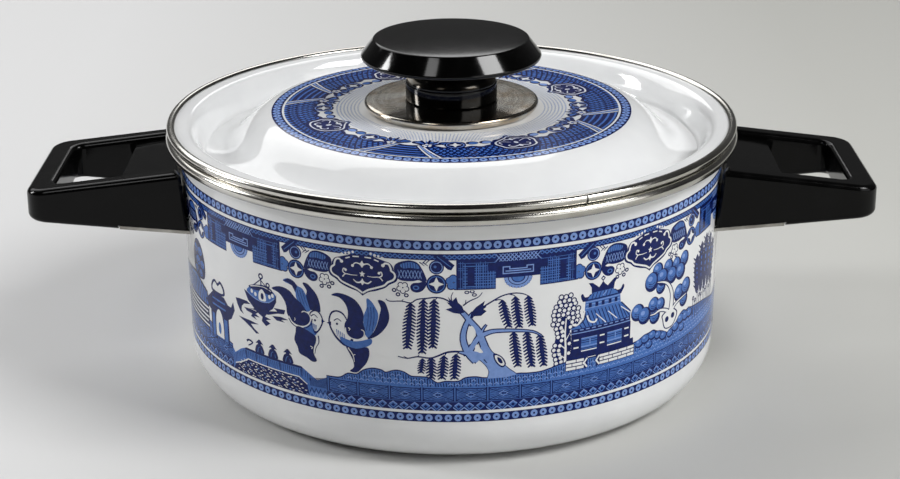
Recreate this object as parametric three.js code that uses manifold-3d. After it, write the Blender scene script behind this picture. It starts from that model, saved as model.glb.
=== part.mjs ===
// A lidded stew pot of enamelled steel with rolled steel rims, loop handles and a mushroom knob.
// Millimetres. The base stands on z = 0, the axis is +Z, and the handles lie along X.

import * as THREE from 'three';
import { mergeVertices } from 'three/addons/utils/BufferGeometryUtils.js';
import Module from 'manifold-3d';

// Clearance between pieces that are fitted together
const FIT = 0.3;

// Pot: a steel pressing with a rounded foot, a little draft and a turned-out flange
const POT_WALL = 1.3;
const POT_MOUTH_RADIUS = 104.6;
const POT_DRAFT = 1.2;
const POT_CORNER = 16;
const POT_FLANGE_HEIGHT = 96;
const POT_FLANGE_BEND = 1.8;

// Rim rings: strip rolled to a bead that clasps the flange
const RING_SHEET = 0.5;
const RIM_OVERHANG = 5.4;
const POT_RING_BEAD = 4.6;
const LID_RING_BEAD = 3.3;
const LID_RING_INSET = 0.4;
const LID_RING_SEAM = 0.4;
const LID_RING_SEAM_ANGLE = THREE.MathUtils.degToRad(-65);

// Lid: a flange, a sunk well inside the pot's mouth and a raised flat crown
const LID_WALL = 1;
const LID_WELL_PLAY = 0.8;
const LID_FLANGE_BEND = 3;
const LID_FLANK_WIDTH = 7.5;
const LID_WELL_DEPTH = 11;
const LID_CROWN_RADIUS = 66;
const LID_CROWN_RISE = 3.5;

// Knob saucer: polished sheet, dished down to the lid under the knob
const SAUCER_SHEET = 0.8;
const SAUCER_RADIUS = 34;
const SAUCER_HEIGHT = 3.2;
const SAUCER_TUCK = 1.8;
const SAUCER_DISH_RADIUS = 13;

// Knob: a round neck with a fine step, and a wide cap with a bevelled band
const NECK_RADIUS = 17.6;
const NECK_STEP = 0.5;
const NECK_LOWER_HEIGHT = 6.4;
const NECK_UPPER_HEIGHT = 1.3;
const CAP_RADIUS = 34.6;
const CAP_EDGE = 1.3;
const CAP_UNDER_HEIGHT = 8.8;
const CAP_BAND_HEIGHT = 6.6;
const CAP_TOP_RADIUS = 30.2;

// Knob fastening
const KNOB_SCREW_RADIUS = 2.5;
const KNOB_SCREW_HEAD_RADIUS = 5;
const KNOB_SCREW_HEAD_HEIGHT = 3;
const KNOB_INSERT_RADIUS = 4.5;
const KNOB_INSERT_DEPTH = 12;
const KNOB_WASHER_RADIUS = 7;
const KNOB_WASHER_SHEET = 1;
const KNOB_SEAL_RADIUS = 8;
const KNOB_SEAL_SHEET = 1;

// Handle: a loop that thins towards its tip, with a sunk web between the root and the opening
const HANDLE_REACH = 56.6;
const HANDLE_WIDTH = 65;
const HANDLE_DROP = 9;
const HANDLE_ROOT_HEIGHT = 22.6;
const HANDLE_TIP_HEIGHT = 11.9;
const HANDLE_FALL = 6;
const HANDLE_CORNER = 8;
const HANDLE_EDGE = 2.2;
const HANDLE_WEB = 21.4;
const HANDLE_WEB_SINK = 2.2;
const HANDLE_END_BAR = 10.2;
const HANDLE_SIDE_BAR = 8.5;
const HANDLE_TOP_GAP = 2;
const OPENING_CORNER = 4;

// Handle bracket: a plate curved to the wall and a bottom plate under the handle's root
const BRACKET_SHEET = 1.2;
const BRACKET_PLATE_WIDTH = 40;
const BRACKET_PLATE_HEIGHT = 15;
const BRACKET_INSET = 0.4;

// Handle fastening
const HANDLE_SCREW_OFFSET = 12;
const HANDLE_SCREW_SPACING = 32;
const HANDLE_SCREW_RADIUS = 2;
const HANDLE_SCREW_HEAD_RADIUS = 3.8;
const HANDLE_SCREW_HEAD_HEIGHT = 2.4;
const HANDLE_WASHER_RADIUS = 4.6;
const HANDLE_WASHER_SHEET = 0.8;
const HANDLE_INSERT_RADIUS = 3.4;
const HANDLE_INSERT_LENGTH = 10;

// Smoothness: sides of the large round pieces, of the knob and of the small hardware
const POT_SIDES = 48;
const KNOB_SIDES = 40;
const SMALL_SIDES = 14;

// Smoothness: steps along the curves of the profiles and of the handle's plan
const BEAD_OUTSIDE_STEPS = 8;
const BEAD_INSIDE_STEPS = 6;
const FOOT_STEPS = 5;
const BEND_STEPS = 3;
const FLANK_STEPS = 4;
const RISE_STEPS = 7;
const CAP_UNDER_STEPS = 5;
const CAP_EDGE_STEPS = 3;
const HANDLE_CORNER_STEPS = 4;
const HANDLE_EDGE_STEPS = 2;

// Levels and radii that follow from the sizes above
const POT_FOOT_RADIUS = POT_MOUTH_RADIUS - POT_DRAFT;
const POT_RING_RADIUS = POT_MOUTH_RADIUS + RIM_OVERHANG;
const LID_RING_RADIUS = POT_RING_RADIUS - LID_RING_INSET;
const LID_FLANGE_HEIGHT = POT_FLANGE_HEIGHT + (POT_RING_BEAD + LID_RING_BEAD) / 2 + FIT;
const LID_WELL_RADIUS = POT_MOUTH_RADIUS - POT_WALL - LID_WELL_PLAY;
const CROWN_MIDDLE = LID_FLANGE_HEIGHT + LID_CROWN_RISE;
const CROWN_TOP = CROWN_MIDDLE + LID_WALL / 2;
const CROWN_UNDER = CROWN_MIDDLE - LID_WALL / 2;
const SAUCER_FOOT = CROWN_TOP + FIT;
const SAUCER_TOP = SAUCER_FOOT + SAUCER_HEIGHT;
const KNOB_FOOT = SAUCER_TOP + FIT;
const KNOB_BORE_RADIUS = KNOB_SCREW_RADIUS + 2 * FIT;
const WALL_TOP = POT_FLANGE_HEIGHT - POT_FLANGE_BEND;
const HANDLE_TIP = POT_MOUTH_RADIUS + HANDLE_REACH;
const OPENING_START = POT_MOUTH_RADIUS + HANDLE_WEB;
const OPENING_END = HANDLE_TIP - HANDLE_END_BAR;
const OPENING_HALF_WIDTH = HANDLE_WIDTH / 2 - HANDLE_SIDE_BAR;
const HANDLE_ROOT_TOP = POT_FLANGE_HEIGHT - HANDLE_DROP;
const HANDLE_ROOT_UNDER = HANDLE_ROOT_TOP - HANDLE_ROOT_HEIGHT;
const HANDLE_ROOT_X = Math.sqrt(POT_FOOT_RADIUS ** 2 - (HANDLE_WIDTH / 2) ** 2) - 2 * HANDLE_EDGE;
const HANDLE_SCREW_X = POT_MOUTH_RADIUS + HANDLE_SCREW_OFFSET;
const TOP_SLOPE = -HANDLE_FALL / HANDLE_REACH;
const UNDER_SLOPE = TOP_SLOPE + (HANDLE_ROOT_HEIGHT - HANDLE_TIP_HEIGHT) / HANDLE_REACH;

const wasm = await Module();
wasm.setup();

const finishes = {
  enamel: new THREE.MeshStandardMaterial({ color: 0xf0f0ec, roughness: 0.15, metalness: 0 }),
  rolledSteel: new THREE.MeshStandardMaterial({ color: 0xc9c7c1, roughness: 0.18, metalness: 1 }),
  polishedSteel: new THREE.MeshStandardMaterial({ color: 0xb9b5ad, roughness: 0.1, metalness: 1 }),
  phenolic: new THREE.MeshStandardMaterial({ color: 0x121313, roughness: 0.3, metalness: 0 }),
  bracketSteel: new THREE.MeshStandardMaterial({ color: 0xb4b3ae, roughness: 0.4, metalness: 1 }),
  brass: new THREE.MeshStandardMaterial({ color: 0xb08d4a, roughness: 0.35, metalness: 1 }),
  zinc: new THREE.MeshStandardMaterial({ color: 0xa9abab, roughness: 0.4, metalness: 1 }),
  fibre: new THREE.MeshStandardMaterial({ color: 0x7d2f22, roughness: 0.8, metalness: 0 }),
};

/** Makes a solid of a closed geometry. */
function solidOf(geometry) {
  geometry.deleteAttribute('normal');
  geometry.deleteAttribute('uv');
  const merged = mergeVertices(geometry);
  return new wasm.Manifold(new wasm.Mesh({
    numProp: 3,
    vertProperties: new Float32Array(merged.attributes.position.array),
    triVerts: new Uint32Array(merged.index.array),
  }));
}

/** Makes a named mesh of a solid. */
function meshOf(name, solid, finish) {
  const { vertProperties, triVerts } = solid.getMesh();
  const geometry = new THREE.BufferGeometry();
  geometry.setAttribute('position', new THREE.BufferAttribute(vertProperties, 3));
  geometry.setIndex(new THREE.BufferAttribute(triVerts, 1));
  geometry.computeVertexNormals();
  const mesh = new THREE.Mesh(geometry, finish);
  mesh.name = name;
  return mesh;
}

/** Turns a profile of (radius, height) points, a loop or one with both ends on the axis, about Z. */
function turned(profile, sides) {
  const outline = THREE.ShapeUtils.isClockWise(profile) ? [...profile].reverse() : [...profile];
  if (outline[0].x > 0) outline.push(outline[0].clone());
  return solidOf(new THREE.LatheGeometry(outline, sides).rotateX(Math.PI / 2));
}

/** A plain ring between two radii and two heights. */
function turnedBand(inner, outer, low, high, sides) {
  return turned([at(inner, low), at(outer, low), at(outer, high), at(inner, high)], sides);
}

/** A point of a profile, by its distance from the axis and its height. */
function at(radius, height) {
  return new THREE.Vector2(radius, height);
}

/** Points of an arc in the profile plane, both ends included. */
function arc(centre, radius, from, to, steps) {
  return Array.from({ length: steps + 1 }, (_, step) => {
    const angle = THREE.MathUtils.lerp(from, to, step / steps);
    return at(centre.x + radius * Math.cos(angle), centre.y + radius * Math.sin(angle));
  });
}

/** Profile of a pressed sheet: its middle line, thickened by half the sheet to both sides. */
function sheetProfile(middle, sheet) {
  const direction = (from, to) => to.clone().sub(from).normalize();
  const side = (sign) => middle.map((point, i) => {
    const before = i > 0 ? direction(middle[i - 1], point) : direction(point, middle[1]);
    const after = i < middle.length - 1 ? direction(point, middle[i + 1]) : before;
    const normal = before.clone().add(after).normalize();
    const mitre = (sign * sheet) / 2 / normal.dot(before);
    return at(point.x === 0 ? 0 : point.x - normal.y * mitre, point.y + normal.x * mitre);
  });
  return [...side(-1), ...side(1).reverse()];
}

/** Outside radius of the pot's wall at a height. */
function wallRadius(height) {
  const share = (height - POT_CORNER) / (WALL_TOP - POT_CORNER);
  return THREE.MathUtils.lerp(POT_FOOT_RADIUS, POT_MOUTH_RADIUS, share);
}

/** A solid plug over the handle's heights and past them, which stands off the pot's wall by a gap. */
function wallPlug(gapAt) {
  const low = HANDLE_ROOT_UNDER - HANDLE_ROOT_HEIGHT / 2;
  const high = HANDLE_ROOT_TOP + HANDLE_ROOT_HEIGHT / 2;
  const profile = [
    at(0, low),
    at(wallRadius(low) + gapAt(low), low),
    at(wallRadius(high) + gapAt(high), high),
    at(0, high),
  ];
  return turned(profile, POT_SIDES);
}

/** Gap between the handle's root and the wall: a clearance at the bottom, wider at the top. */
function rootGap(height) {
  const share = (height - HANDLE_ROOT_UNDER) / HANDLE_ROOT_HEIGHT;
  return THREE.MathUtils.lerp(FIT, HANDLE_TOP_GAP, share);
}

/** Bead section of a rim ring, open towards the axis where it clasps a flange of the given sheet. */
function beadRing(outerRadius, bead, height, flangeSheet) {
  const outer = bead / 2;
  const inner = outer - RING_SHEET;
  const centre = at(outerRadius - outer, height);
  const lip = flangeSheet / 2 + FIT;
  const outerReach = Math.PI - Math.asin(lip / outer);
  const innerReach = Math.PI - Math.asin(lip / inner);
  const profile = [
    ...arc(centre, outer, -outerReach, outerReach, BEAD_OUTSIDE_STEPS),
    ...arc(centre, inner, innerReach, -innerReach, BEAD_INSIDE_STEPS),
  ];
  return turned(profile, POT_SIDES);
}

/** How far a flange runs into its bead ring, as a radius. */
function flangeTip(outerRadius, bead, flangeSheet) {
  const inner = bead / 2 - RING_SHEET - FIT;
  return outerRadius - bead / 2 + Math.sqrt(inner ** 2 - (flangeSheet / 2) ** 2);
}

function potShell() {
  const half = POT_WALL / 2;
  const corner = at(POT_FOOT_RADIUS - POT_CORNER, POT_CORNER);
  const bend = at(POT_MOUTH_RADIUS - half + POT_FLANGE_BEND, POT_FLANGE_HEIGHT - POT_FLANGE_BEND);
  const middle = [
    at(0, half),
    ...arc(corner, POT_CORNER - half, -Math.PI / 2, 0, FOOT_STEPS),
    ...arc(bend, POT_FLANGE_BEND, Math.PI, Math.PI / 2, BEND_STEPS),
    at(flangeTip(POT_RING_RADIUS, POT_RING_BEAD, POT_WALL), POT_FLANGE_HEIGHT),
  ];
  return turned(sheetProfile(middle, POT_WALL), POT_SIDES);
}

function lidRing() {
  const ring = beadRing(LID_RING_RADIUS, LID_RING_BEAD, LID_FLANGE_HEIGHT, LID_WALL);
  const seam = new THREE.BoxGeometry(LID_RING_RADIUS, LID_RING_SEAM, 2 * LID_RING_BEAD);
  seam.translate(LID_RING_RADIUS, 0, LID_FLANGE_HEIGHT).rotateZ(LID_RING_SEAM_ANGLE);
  return ring.subtract(solidOf(seam));
}

function lidShell() {
  const bend = at(LID_WELL_RADIUS, LID_FLANGE_HEIGHT - LID_FLANGE_BEND);
  const wellBottom = at(LID_WELL_RADIUS - LID_FLANK_WIDTH, LID_FLANGE_HEIGHT - LID_WELL_DEPTH);
  const crownEdge = at(LID_CROWN_RADIUS, CROWN_MIDDLE);
  const riseWidth = wellBottom.x - crownEdge.x;
  const shoulder = arc(bend, LID_FLANGE_BEND, Math.PI / 2, 0.75 * Math.PI, BEND_STEPS);
  const flankTop = shoulder[BEND_STEPS];
  const flank = new THREE.CubicBezierCurve(
    flankTop,
    at(flankTop.x - LID_FLANGE_BEND, flankTop.y - LID_FLANGE_BEND),
    at(wellBottom.x + LID_FLANK_WIDTH / 4, wellBottom.y),
    wellBottom,
  );
  const rise = new THREE.CubicBezierCurve(
    wellBottom,
    at(wellBottom.x - riseWidth / 2, wellBottom.y),
    at(crownEdge.x + riseWidth / 2, crownEdge.y),
    crownEdge,
  );
  const middle = [
    at(flangeTip(LID_RING_RADIUS, LID_RING_BEAD, LID_WALL), LID_FLANGE_HEIGHT),
    ...shoulder,
    ...flank.getPoints(FLANK_STEPS).slice(1),
    ...rise.getPoints(RISE_STEPS).slice(1),
    at(KNOB_BORE_RADIUS, CROWN_MIDDLE),
  ];
  return turned(sheetProfile(middle, LID_WALL), POT_SIDES);
}

function knobSaucer() {
  const half = SAUCER_SHEET / 2;
  const edge = SAUCER_RADIUS - half;
  const middle = [
    at(KNOB_BORE_RADIUS, SAUCER_FOOT + half),
    at(SAUCER_DISH_RADIUS, SAUCER_FOOT + half),
    at(SAUCER_DISH_RADIUS + SAUCER_HEIGHT / 2, SAUCER_TOP - half),
    at(edge - half, SAUCER_TOP - half),
    at(edge, SAUCER_TOP - SAUCER_SHEET),
    at(edge - SAUCER_TUCK, SAUCER_FOOT + half / 2),
  ];
  return turned(sheetProfile(middle, SAUCER_SHEET), KNOB_SIDES);
}

function knob() {
  const stepLevel = KNOB_FOOT + NECK_LOWER_HEIGHT;
  const neckTop = stepLevel + NECK_UPPER_HEIGHT;
  const edgeCentre = at(CAP_RADIUS - CAP_EDGE, neckTop + CAP_UNDER_HEIGHT + CAP_EDGE / 2);
  const top = neckTop + CAP_UNDER_HEIGHT + CAP_EDGE + CAP_BAND_HEIGHT;
  const boreRadius = KNOB_INSERT_RADIUS + FIT;
  const edge = arc(edgeCentre, CAP_EDGE, -Math.PI / 3, Math.PI / 6, CAP_EDGE_STEPS);
  const flare = new THREE.QuadraticBezierCurve(
    at(NECK_RADIUS - NECK_STEP, neckTop),
    at(NECK_RADIUS + CAP_EDGE, edge[0].y - CAP_EDGE),
    edge[0],
  );
  const profile = [
    at(0, KNOB_FOOT + KNOB_INSERT_DEPTH + FIT),
    at(boreRadius, KNOB_FOOT + KNOB_INSERT_DEPTH + FIT),
    at(boreRadius, KNOB_FOOT),
    at(NECK_RADIUS, KNOB_FOOT),
    at(NECK_RADIUS, stepLevel),
    at(NECK_RADIUS - NECK_STEP, stepLevel + NECK_STEP / 2),
    ...flare.getPoints(CAP_UNDER_STEPS),
    ...edge.slice(1),
    at(CAP_TOP_RADIUS, top - CAP_EDGE / 3),
    at(CAP_TOP_RADIUS - CAP_EDGE / 3, top),
    at(0, top),
  ];
  return turned(profile, KNOB_SIDES);
}

/** A pan-head screw that points up, with the top of its head at a height. */
function screw(shankRadius, headRadius, headHeight, seat, tip, sides) {
  const foot = seat - headHeight;
  const crown = headRadius - headHeight / 2;
  const profile = [
    at(0, foot),
    at(crown, foot),
    at(headRadius, foot + headHeight / 2),
    at(headRadius, seat),
    at(shankRadius, seat),
    at(shankRadius, tip),
    at(0, tip),
  ];
  return turned(profile, sides);
}

/** Height of the handle's upper face at a distance from the axis. */
function topLine(x) {
  return HANDLE_ROOT_TOP + TOP_SLOPE * (x - POT_MOUTH_RADIUS);
}

/** Height of the handle's under face at a distance from the axis. */
function underLine(x) {
  return HANDLE_ROOT_UNDER + UNDER_SLOPE * (x - POT_MOUTH_RADIUS);
}

/** Lays a block's floor and roof, drawn at heights 0 and 1, along two sloping lines. */
function laidBetween(geometry, low, high) {
  const position = geometry.attributes.position;
  for (let i = 0; i < position.count; i += 1) {
    const x = position.getX(i);
    position.setZ(i, THREE.MathUtils.lerp(low(x), high(x), position.getZ(i)));
  }
  return solidOf(geometry);
}

/** A straight-sided block in plan, laid between two sloping lines. */
function slopedBlock(start, end, halfWidth, low, high) {
  const block = new THREE.BoxGeometry(end - start, 2 * halfWidth, 1);
  block.translate((start + end) / 2, 0, 0.5);
  return laidBetween(block, low, high);
}

/** Plan outline of the handle's loop: straight at the root, rounded at the tip, with its opening. */
function handlePlan() {
  const half = HANDLE_WIDTH / 2;
  const cornerX = HANDLE_TIP - HANDLE_CORNER;
  const plan = new THREE.Shape();
  plan.moveTo(HANDLE_ROOT_X, -half);
  plan.lineTo(cornerX, -half);
  plan.absarc(cornerX, HANDLE_CORNER - half, HANDLE_CORNER, -Math.PI / 2, 0, false);
  plan.lineTo(HANDLE_TIP, half - HANDLE_CORNER);
  plan.absarc(cornerX, half - HANDLE_CORNER, HANDLE_CORNER, 0, Math.PI / 2, false);
  plan.lineTo(HANDLE_ROOT_X, half);
  plan.closePath();
  plan.holes.push(openingPlan());
  return plan;
}

/** Plan outline of the finger opening, a rectangle with rounded corners. */
function openingPlan() {
  const inset = OPENING_CORNER;
  const [start, end, half] = [OPENING_START + inset, OPENING_END - inset, OPENING_HALF_WIDTH - inset];
  const opening = new THREE.Path();
  opening.absarc(end, half, inset, 0, Math.PI / 2, false);
  opening.absarc(start, half, inset, Math.PI / 2, Math.PI, false);
  opening.absarc(start, -half, inset, Math.PI, 1.5 * Math.PI, false);
  opening.absarc(end, -half, inset, 1.5 * Math.PI, 2 * Math.PI, false);
  opening.closePath();
  return opening;
}

/** The turned frame of one handle screw: its origin lies on the handle's under line. */
function screwPlace(row) {
  const place = new THREE.Group();
  place.position.set(HANDLE_SCREW_X, (row * HANDLE_SCREW_SPACING) / 2, underLine(HANDLE_SCREW_X));
  place.rotation.y = -Math.atan(UNDER_SLOPE);
  place.updateMatrix();
  return place;
}

/** A round hole along both handle screws, between two heights in their frames. */
function screwHoles(radius, low, high) {
  const holes = [-1, 1].map((row) => {
    const hole = new THREE.CylinderGeometry(radius, radius, high - low, SMALL_SIDES).rotateX(Math.PI / 2);
    hole.translate(0, 0, (low + high) / 2);
    return solidOf(hole.applyMatrix4(screwPlace(row).matrix));
  });
  return holes[0].add(holes[1]);
}

/** The part of the bracket's curved plate, grown by a clearance, that stands off the wall. */
function wallPlate(grown) {
  const high = HANDLE_ROOT_UNDER + BRACKET_PLATE_HEIGHT + grown;
  const gap = FIT + BRACKET_SHEET + grown;
  const window = slopedBlock(
    HANDLE_ROOT_X,
    wallRadius(high) + gap + BRACKET_SHEET,
    BRACKET_PLATE_WIDTH / 2 + grown,
    underLine,
    () => high,
  );
  return wallPlug(() => gap).intersect(window);
}

function handle() {
  const bevel = HANDLE_EDGE / HANDLE_ROOT_HEIGHT;
  const loop = new THREE.ExtrudeGeometry(handlePlan(), {
    depth: 1 - 2 * bevel,
    bevelThickness: bevel,
    bevelSize: HANDLE_EDGE,
    bevelOffset: -HANDLE_EDGE,
    bevelSegments: HANDLE_EDGE_STEPS,
    curveSegments: HANDLE_CORNER_STEPS,
  }).translate(0, 0, bevel);
  const sink = slopedBlock(
    HANDLE_ROOT_X - HANDLE_EDGE,
    OPENING_START + OPENING_CORNER,
    OPENING_HALF_WIDTH,
    (x) => topLine(x) - HANDLE_WEB_SINK,
    (x) => topLine(x) + HANDLE_EDGE,
  );
  const plateSeat = slopedBlock(
    HANDLE_ROOT_X - HANDLE_EDGE,
    OPENING_START + FIT,
    HANDLE_WIDTH,
    (x) => underLine(x) - HANDLE_EDGE,
    (x) => underLine(x) + BRACKET_SHEET + FIT,
  );
  const insertTop = BRACKET_SHEET + FIT + HANDLE_INSERT_LENGTH + FIT;
  return laidBetween(loop, underLine, topLine)
    .subtract(wallPlug(rootGap))
    .subtract(sink)
    .subtract(plateSeat)
    .subtract(wallPlate(FIT))
    .subtract(screwHoles(HANDLE_INSERT_RADIUS + FIT, 0, insertTop));
}

function handleBracket() {
  const bottomPlate = slopedBlock(
    HANDLE_ROOT_X,
    OPENING_START - FIT,
    HANDLE_WIDTH / 2 - BRACKET_INSET,
    underLine,
    (x) => underLine(x) + BRACKET_SHEET,
  );
  return bottomPlate
    .add(wallPlate(0))
    .subtract(wallPlug(() => FIT))
    .subtract(screwHoles(HANDLE_SCREW_RADIUS + FIT, -BRACKET_SHEET, 2 * BRACKET_SHEET));
}

/** One handle with its bracket and fasteners, drawn on the +X side and turned to its own side. */
function handleGroup(side, turn) {
  const group = new THREE.Group();
  group.rotation.z = turn;
  group.add(meshOf(`handle_${side}`, handle(), finishes.phenolic));
  group.add(meshOf(`handle_bracket_${side}`, handleBracket(), finishes.bracketSteel));
  const insertFoot = BRACKET_SHEET + FIT;
  const insertTop = insertFoot + HANDLE_INSERT_LENGTH;
  const washerFoot = -FIT - HANDLE_WASHER_SHEET;
  const bore = HANDLE_SCREW_RADIUS + FIT;
  const insert = turnedBand(bore, HANDLE_INSERT_RADIUS, insertFoot, insertTop, SMALL_SIDES);
  const washer = turnedBand(bore, HANDLE_WASHER_RADIUS, washerFoot, -FIT, SMALL_SIDES);
  const bolt = screw(
    HANDLE_SCREW_RADIUS,
    HANDLE_SCREW_HEAD_RADIUS,
    HANDLE_SCREW_HEAD_HEIGHT,
    washerFoot - FIT,
    insertTop - HANDLE_SCREW_RADIUS,
    SMALL_SIDES,
  );
  for (const row of [-1, 1]) {
    const end = row * Math.cos(turn) < 0 ? 'front' : 'back';
    const place = screwPlace(row);
    place.add(meshOf(`handle_insert_${side}_${end}`, insert, finishes.brass));
    place.add(meshOf(`handle_washer_${side}_${end}`, washer, finishes.zinc));
    place.add(meshOf(`handle_screw_${side}_${end}`, bolt, finishes.zinc));
    group.add(place);
  }
  return group;
}

function potGroup() {
  const group = new THREE.Group();
  const ring = beadRing(POT_RING_RADIUS, POT_RING_BEAD, POT_FLANGE_HEIGHT, POT_WALL);
  group.add(meshOf('pot_shell', potShell(), finishes.enamel));
  group.add(meshOf('pot_rim_ring', ring, finishes.rolledSteel));
  group.add(handleGroup('right', 0));
  group.add(handleGroup('left', Math.PI));
  return group;
}

function lidGroup() {
  const group = new THREE.Group();
  group.add(meshOf('lid_shell', lidShell(), finishes.enamel));
  group.add(meshOf('lid_rim_ring', lidRing(), finishes.rolledSteel));
  group.add(meshOf('knob_saucer', knobSaucer(), finishes.polishedSteel));
  group.add(meshOf('knob', knob(), finishes.phenolic));

  const bore = KNOB_SCREW_RADIUS + FIT;
  const insertFoot = SAUCER_FOOT + SAUCER_SHEET + FIT;
  const insertTop = KNOB_FOOT + KNOB_INSERT_DEPTH;
  const sealTop = CROWN_UNDER - FIT;
  const sealFoot = sealTop - KNOB_SEAL_SHEET;
  const washerTop = sealFoot - FIT;
  const washerFoot = washerTop - KNOB_WASHER_SHEET;
  const insert = turnedBand(bore, KNOB_INSERT_RADIUS, insertFoot, insertTop, SMALL_SIDES);
  const seal = turnedBand(bore, KNOB_SEAL_RADIUS, sealFoot, sealTop, SMALL_SIDES);
  const washer = turnedBand(bore, KNOB_WASHER_RADIUS, washerFoot, washerTop, SMALL_SIDES);
  const bolt = screw(
    KNOB_SCREW_RADIUS,
    KNOB_SCREW_HEAD_RADIUS,
    KNOB_SCREW_HEAD_HEIGHT,
    washerFoot - FIT,
    insertTop - KNOB_SCREW_RADIUS,
    SMALL_SIDES,
  );
  group.add(meshOf('knob_insert', insert, finishes.brass));
  group.add(meshOf('knob_seal', seal, finishes.fibre));
  group.add(meshOf('knob_washer', washer, finishes.zinc));
  group.add(meshOf('knob_screw', bolt, finishes.zinc));
  return group;
}

const stewPot = new THREE.Group();
stewPot.add(potGroup());
stewPot.add(lidGroup());

export default stewPot;
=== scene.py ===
"""A lidded stew pot of white enamelled steel with a blue willow print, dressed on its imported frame.

Sizes are in millimetres until they reach a mesh. The pot stands on z = 0, its axis is +Z, the handles
lie along X and the camera looks from -Y.
"""

from __future__ import annotations

import logging
from dataclasses import dataclass
from enum import Enum
from functools import cached_property
from itertools import product
from math import asin, ceil, cos, degrees, pi, radians, sin, sqrt
from typing import Any, Callable

import bmesh
import bpy
from mathutils import Matrix, Vector
from mathutils.geometry import delaunay_2d_cdt


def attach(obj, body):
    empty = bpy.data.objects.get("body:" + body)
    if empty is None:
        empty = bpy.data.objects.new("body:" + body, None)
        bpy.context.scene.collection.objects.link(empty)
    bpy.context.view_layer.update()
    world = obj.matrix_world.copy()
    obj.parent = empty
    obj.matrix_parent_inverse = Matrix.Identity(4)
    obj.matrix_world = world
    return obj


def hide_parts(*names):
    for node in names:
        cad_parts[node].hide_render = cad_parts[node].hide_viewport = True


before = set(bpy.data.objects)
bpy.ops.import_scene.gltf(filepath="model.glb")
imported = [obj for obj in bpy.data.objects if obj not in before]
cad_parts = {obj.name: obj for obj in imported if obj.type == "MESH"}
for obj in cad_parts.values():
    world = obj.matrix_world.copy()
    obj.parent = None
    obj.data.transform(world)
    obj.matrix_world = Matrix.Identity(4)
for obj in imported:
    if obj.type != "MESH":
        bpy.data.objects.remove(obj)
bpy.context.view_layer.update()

Point = tuple[float, float]
Points = list[Point]
Slope = Callable[[float], float]
Mesh = bmesh.types.BMesh
Material = bpy.types.Material
Tree = bpy.types.NodeTree
Socket = bpy.types.NodeSocket

# Metres in a millimetre, and the play between pieces that fit.
MM = 0.001
FIT = 0.3
# Steps of a full turn, how near its points become one, and the angle from which an edge stays sharp.
BIG_STEPS = 288
KNOB_STEPS = 160
SPUN_WELD = 0.0005
SHARP_ANGLE = radians(32)
# The print: cuts of a rounded stretch, limits of a line's corners, how near points become one in the
# drawing, the least triangle that is kept, and the points to a millimetre where repeats join.
SMOOTH_CUTS = 3
LEAST_MITRE = 0.5
MOST_REACH = 1.6
DRAWN_WELD = 0.002
LEAST_AREA = 1e-5
WELD_GRID = 500

log = logging.getLogger("stew_pot")


class Body(Enum):
    """The two bodies of the frame that pieces ride on."""

    POT = "pot"
    LID = "lid"


class Lay(Enum):
    """Which way the fine lines of a metal surface run."""

    ROUND = "round the axis"
    STRAIGHT = "along the strip"
    GRAINY = "no direction"


def linear(colour: str) -> tuple[float, float, float, float]:
    """Turn an sRGB hex colour to linear light.

    Args:
        colour: The colour as "#rrggbb".

    Returns:
        Linear red, green and blue, and an alpha of 1.
    """
    parts = [int(colour[i : i + 2], 16) / 255 for i in (1, 3, 5)]
    red, green, blue = (p / 12.92 if p <= 0.04045 else ((p + 0.055) / 1.055) ** 2.4 for p in parts)
    return red, green, blue, 1.0


def per_feature(size: float) -> float:
    """Scale of a pattern in metres whose features are this many millimetres across."""
    return 1 / (size * MM)


def add_node(
    tree: Tree,
    kind: str,
    settings: dict[Any, Any] | None = None,
    links: dict[Any, Socket] | None = None,
) -> bpy.types.Node:
    """Add one node to a tree.

    Args:
        tree: The tree that gets the node.
        kind: The node's type name.
        settings: Values of its inputs, by name or number, or of its own properties.
        links: Sockets that feed its inputs, by name or number.

    Returns:
        The new node.
    """
    node = tree.nodes.new(kind)
    for key, value in (settings or {}).items():
        if isinstance(key, int) or key in node.inputs:
            node.inputs[key].default_value = value
        else:
            setattr(node, key, value)
    for key, socket in (links or {}).items():
        tree.links.new(socket, node.inputs[key])
    return node


def new_material(name: str) -> tuple[Material, Tree, bpy.types.Node]:
    """Make a material with a bare shader.

    Args:
        name: The material's name.

    Returns:
        The material, its node tree and its Principled shader.
    """
    material = bpy.data.materials.new(name)
    material.use_nodes = True
    return material, material.node_tree, material.node_tree.nodes["Principled BSDF"]


def along_lay(tree: Tree, place: Socket, lay: Lay) -> Socket:
    """Stretch a pattern's coordinates along the lay of a metal's lines.

    Args:
        tree: The material's tree.
        place: The piece's own coordinates.
        lay: Which way the lines run.

    Returns:
        The coordinates that the lines read.
    """
    if lay is Lay.GRAINY:
        return place
    if lay is Lay.STRAIGHT:
        stretch = {"Scale": (1.0, 0.02, 1.0)}
        return add_node(tree, "ShaderNodeMapping", stretch, {"Vector": place}).outputs["Vector"]
    level = {"operation": "MULTIPLY", 1: (1.0, 1.0, 0.0)}
    flat = add_node(tree, "ShaderNodeVectorMath", level, {0: place}).outputs["Vector"]
    radius = add_node(tree, "ShaderNodeVectorMath", {"operation": "LENGTH"}, {0: flat}).outputs["Value"]
    height = add_node(tree, "ShaderNodeSeparateXYZ", links={"Vector": place}).outputs["Z"]
    return add_node(tree, "ShaderNodeCombineXYZ", links={"X": radius, "Z": height}).outputs["Vector"]


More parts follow.
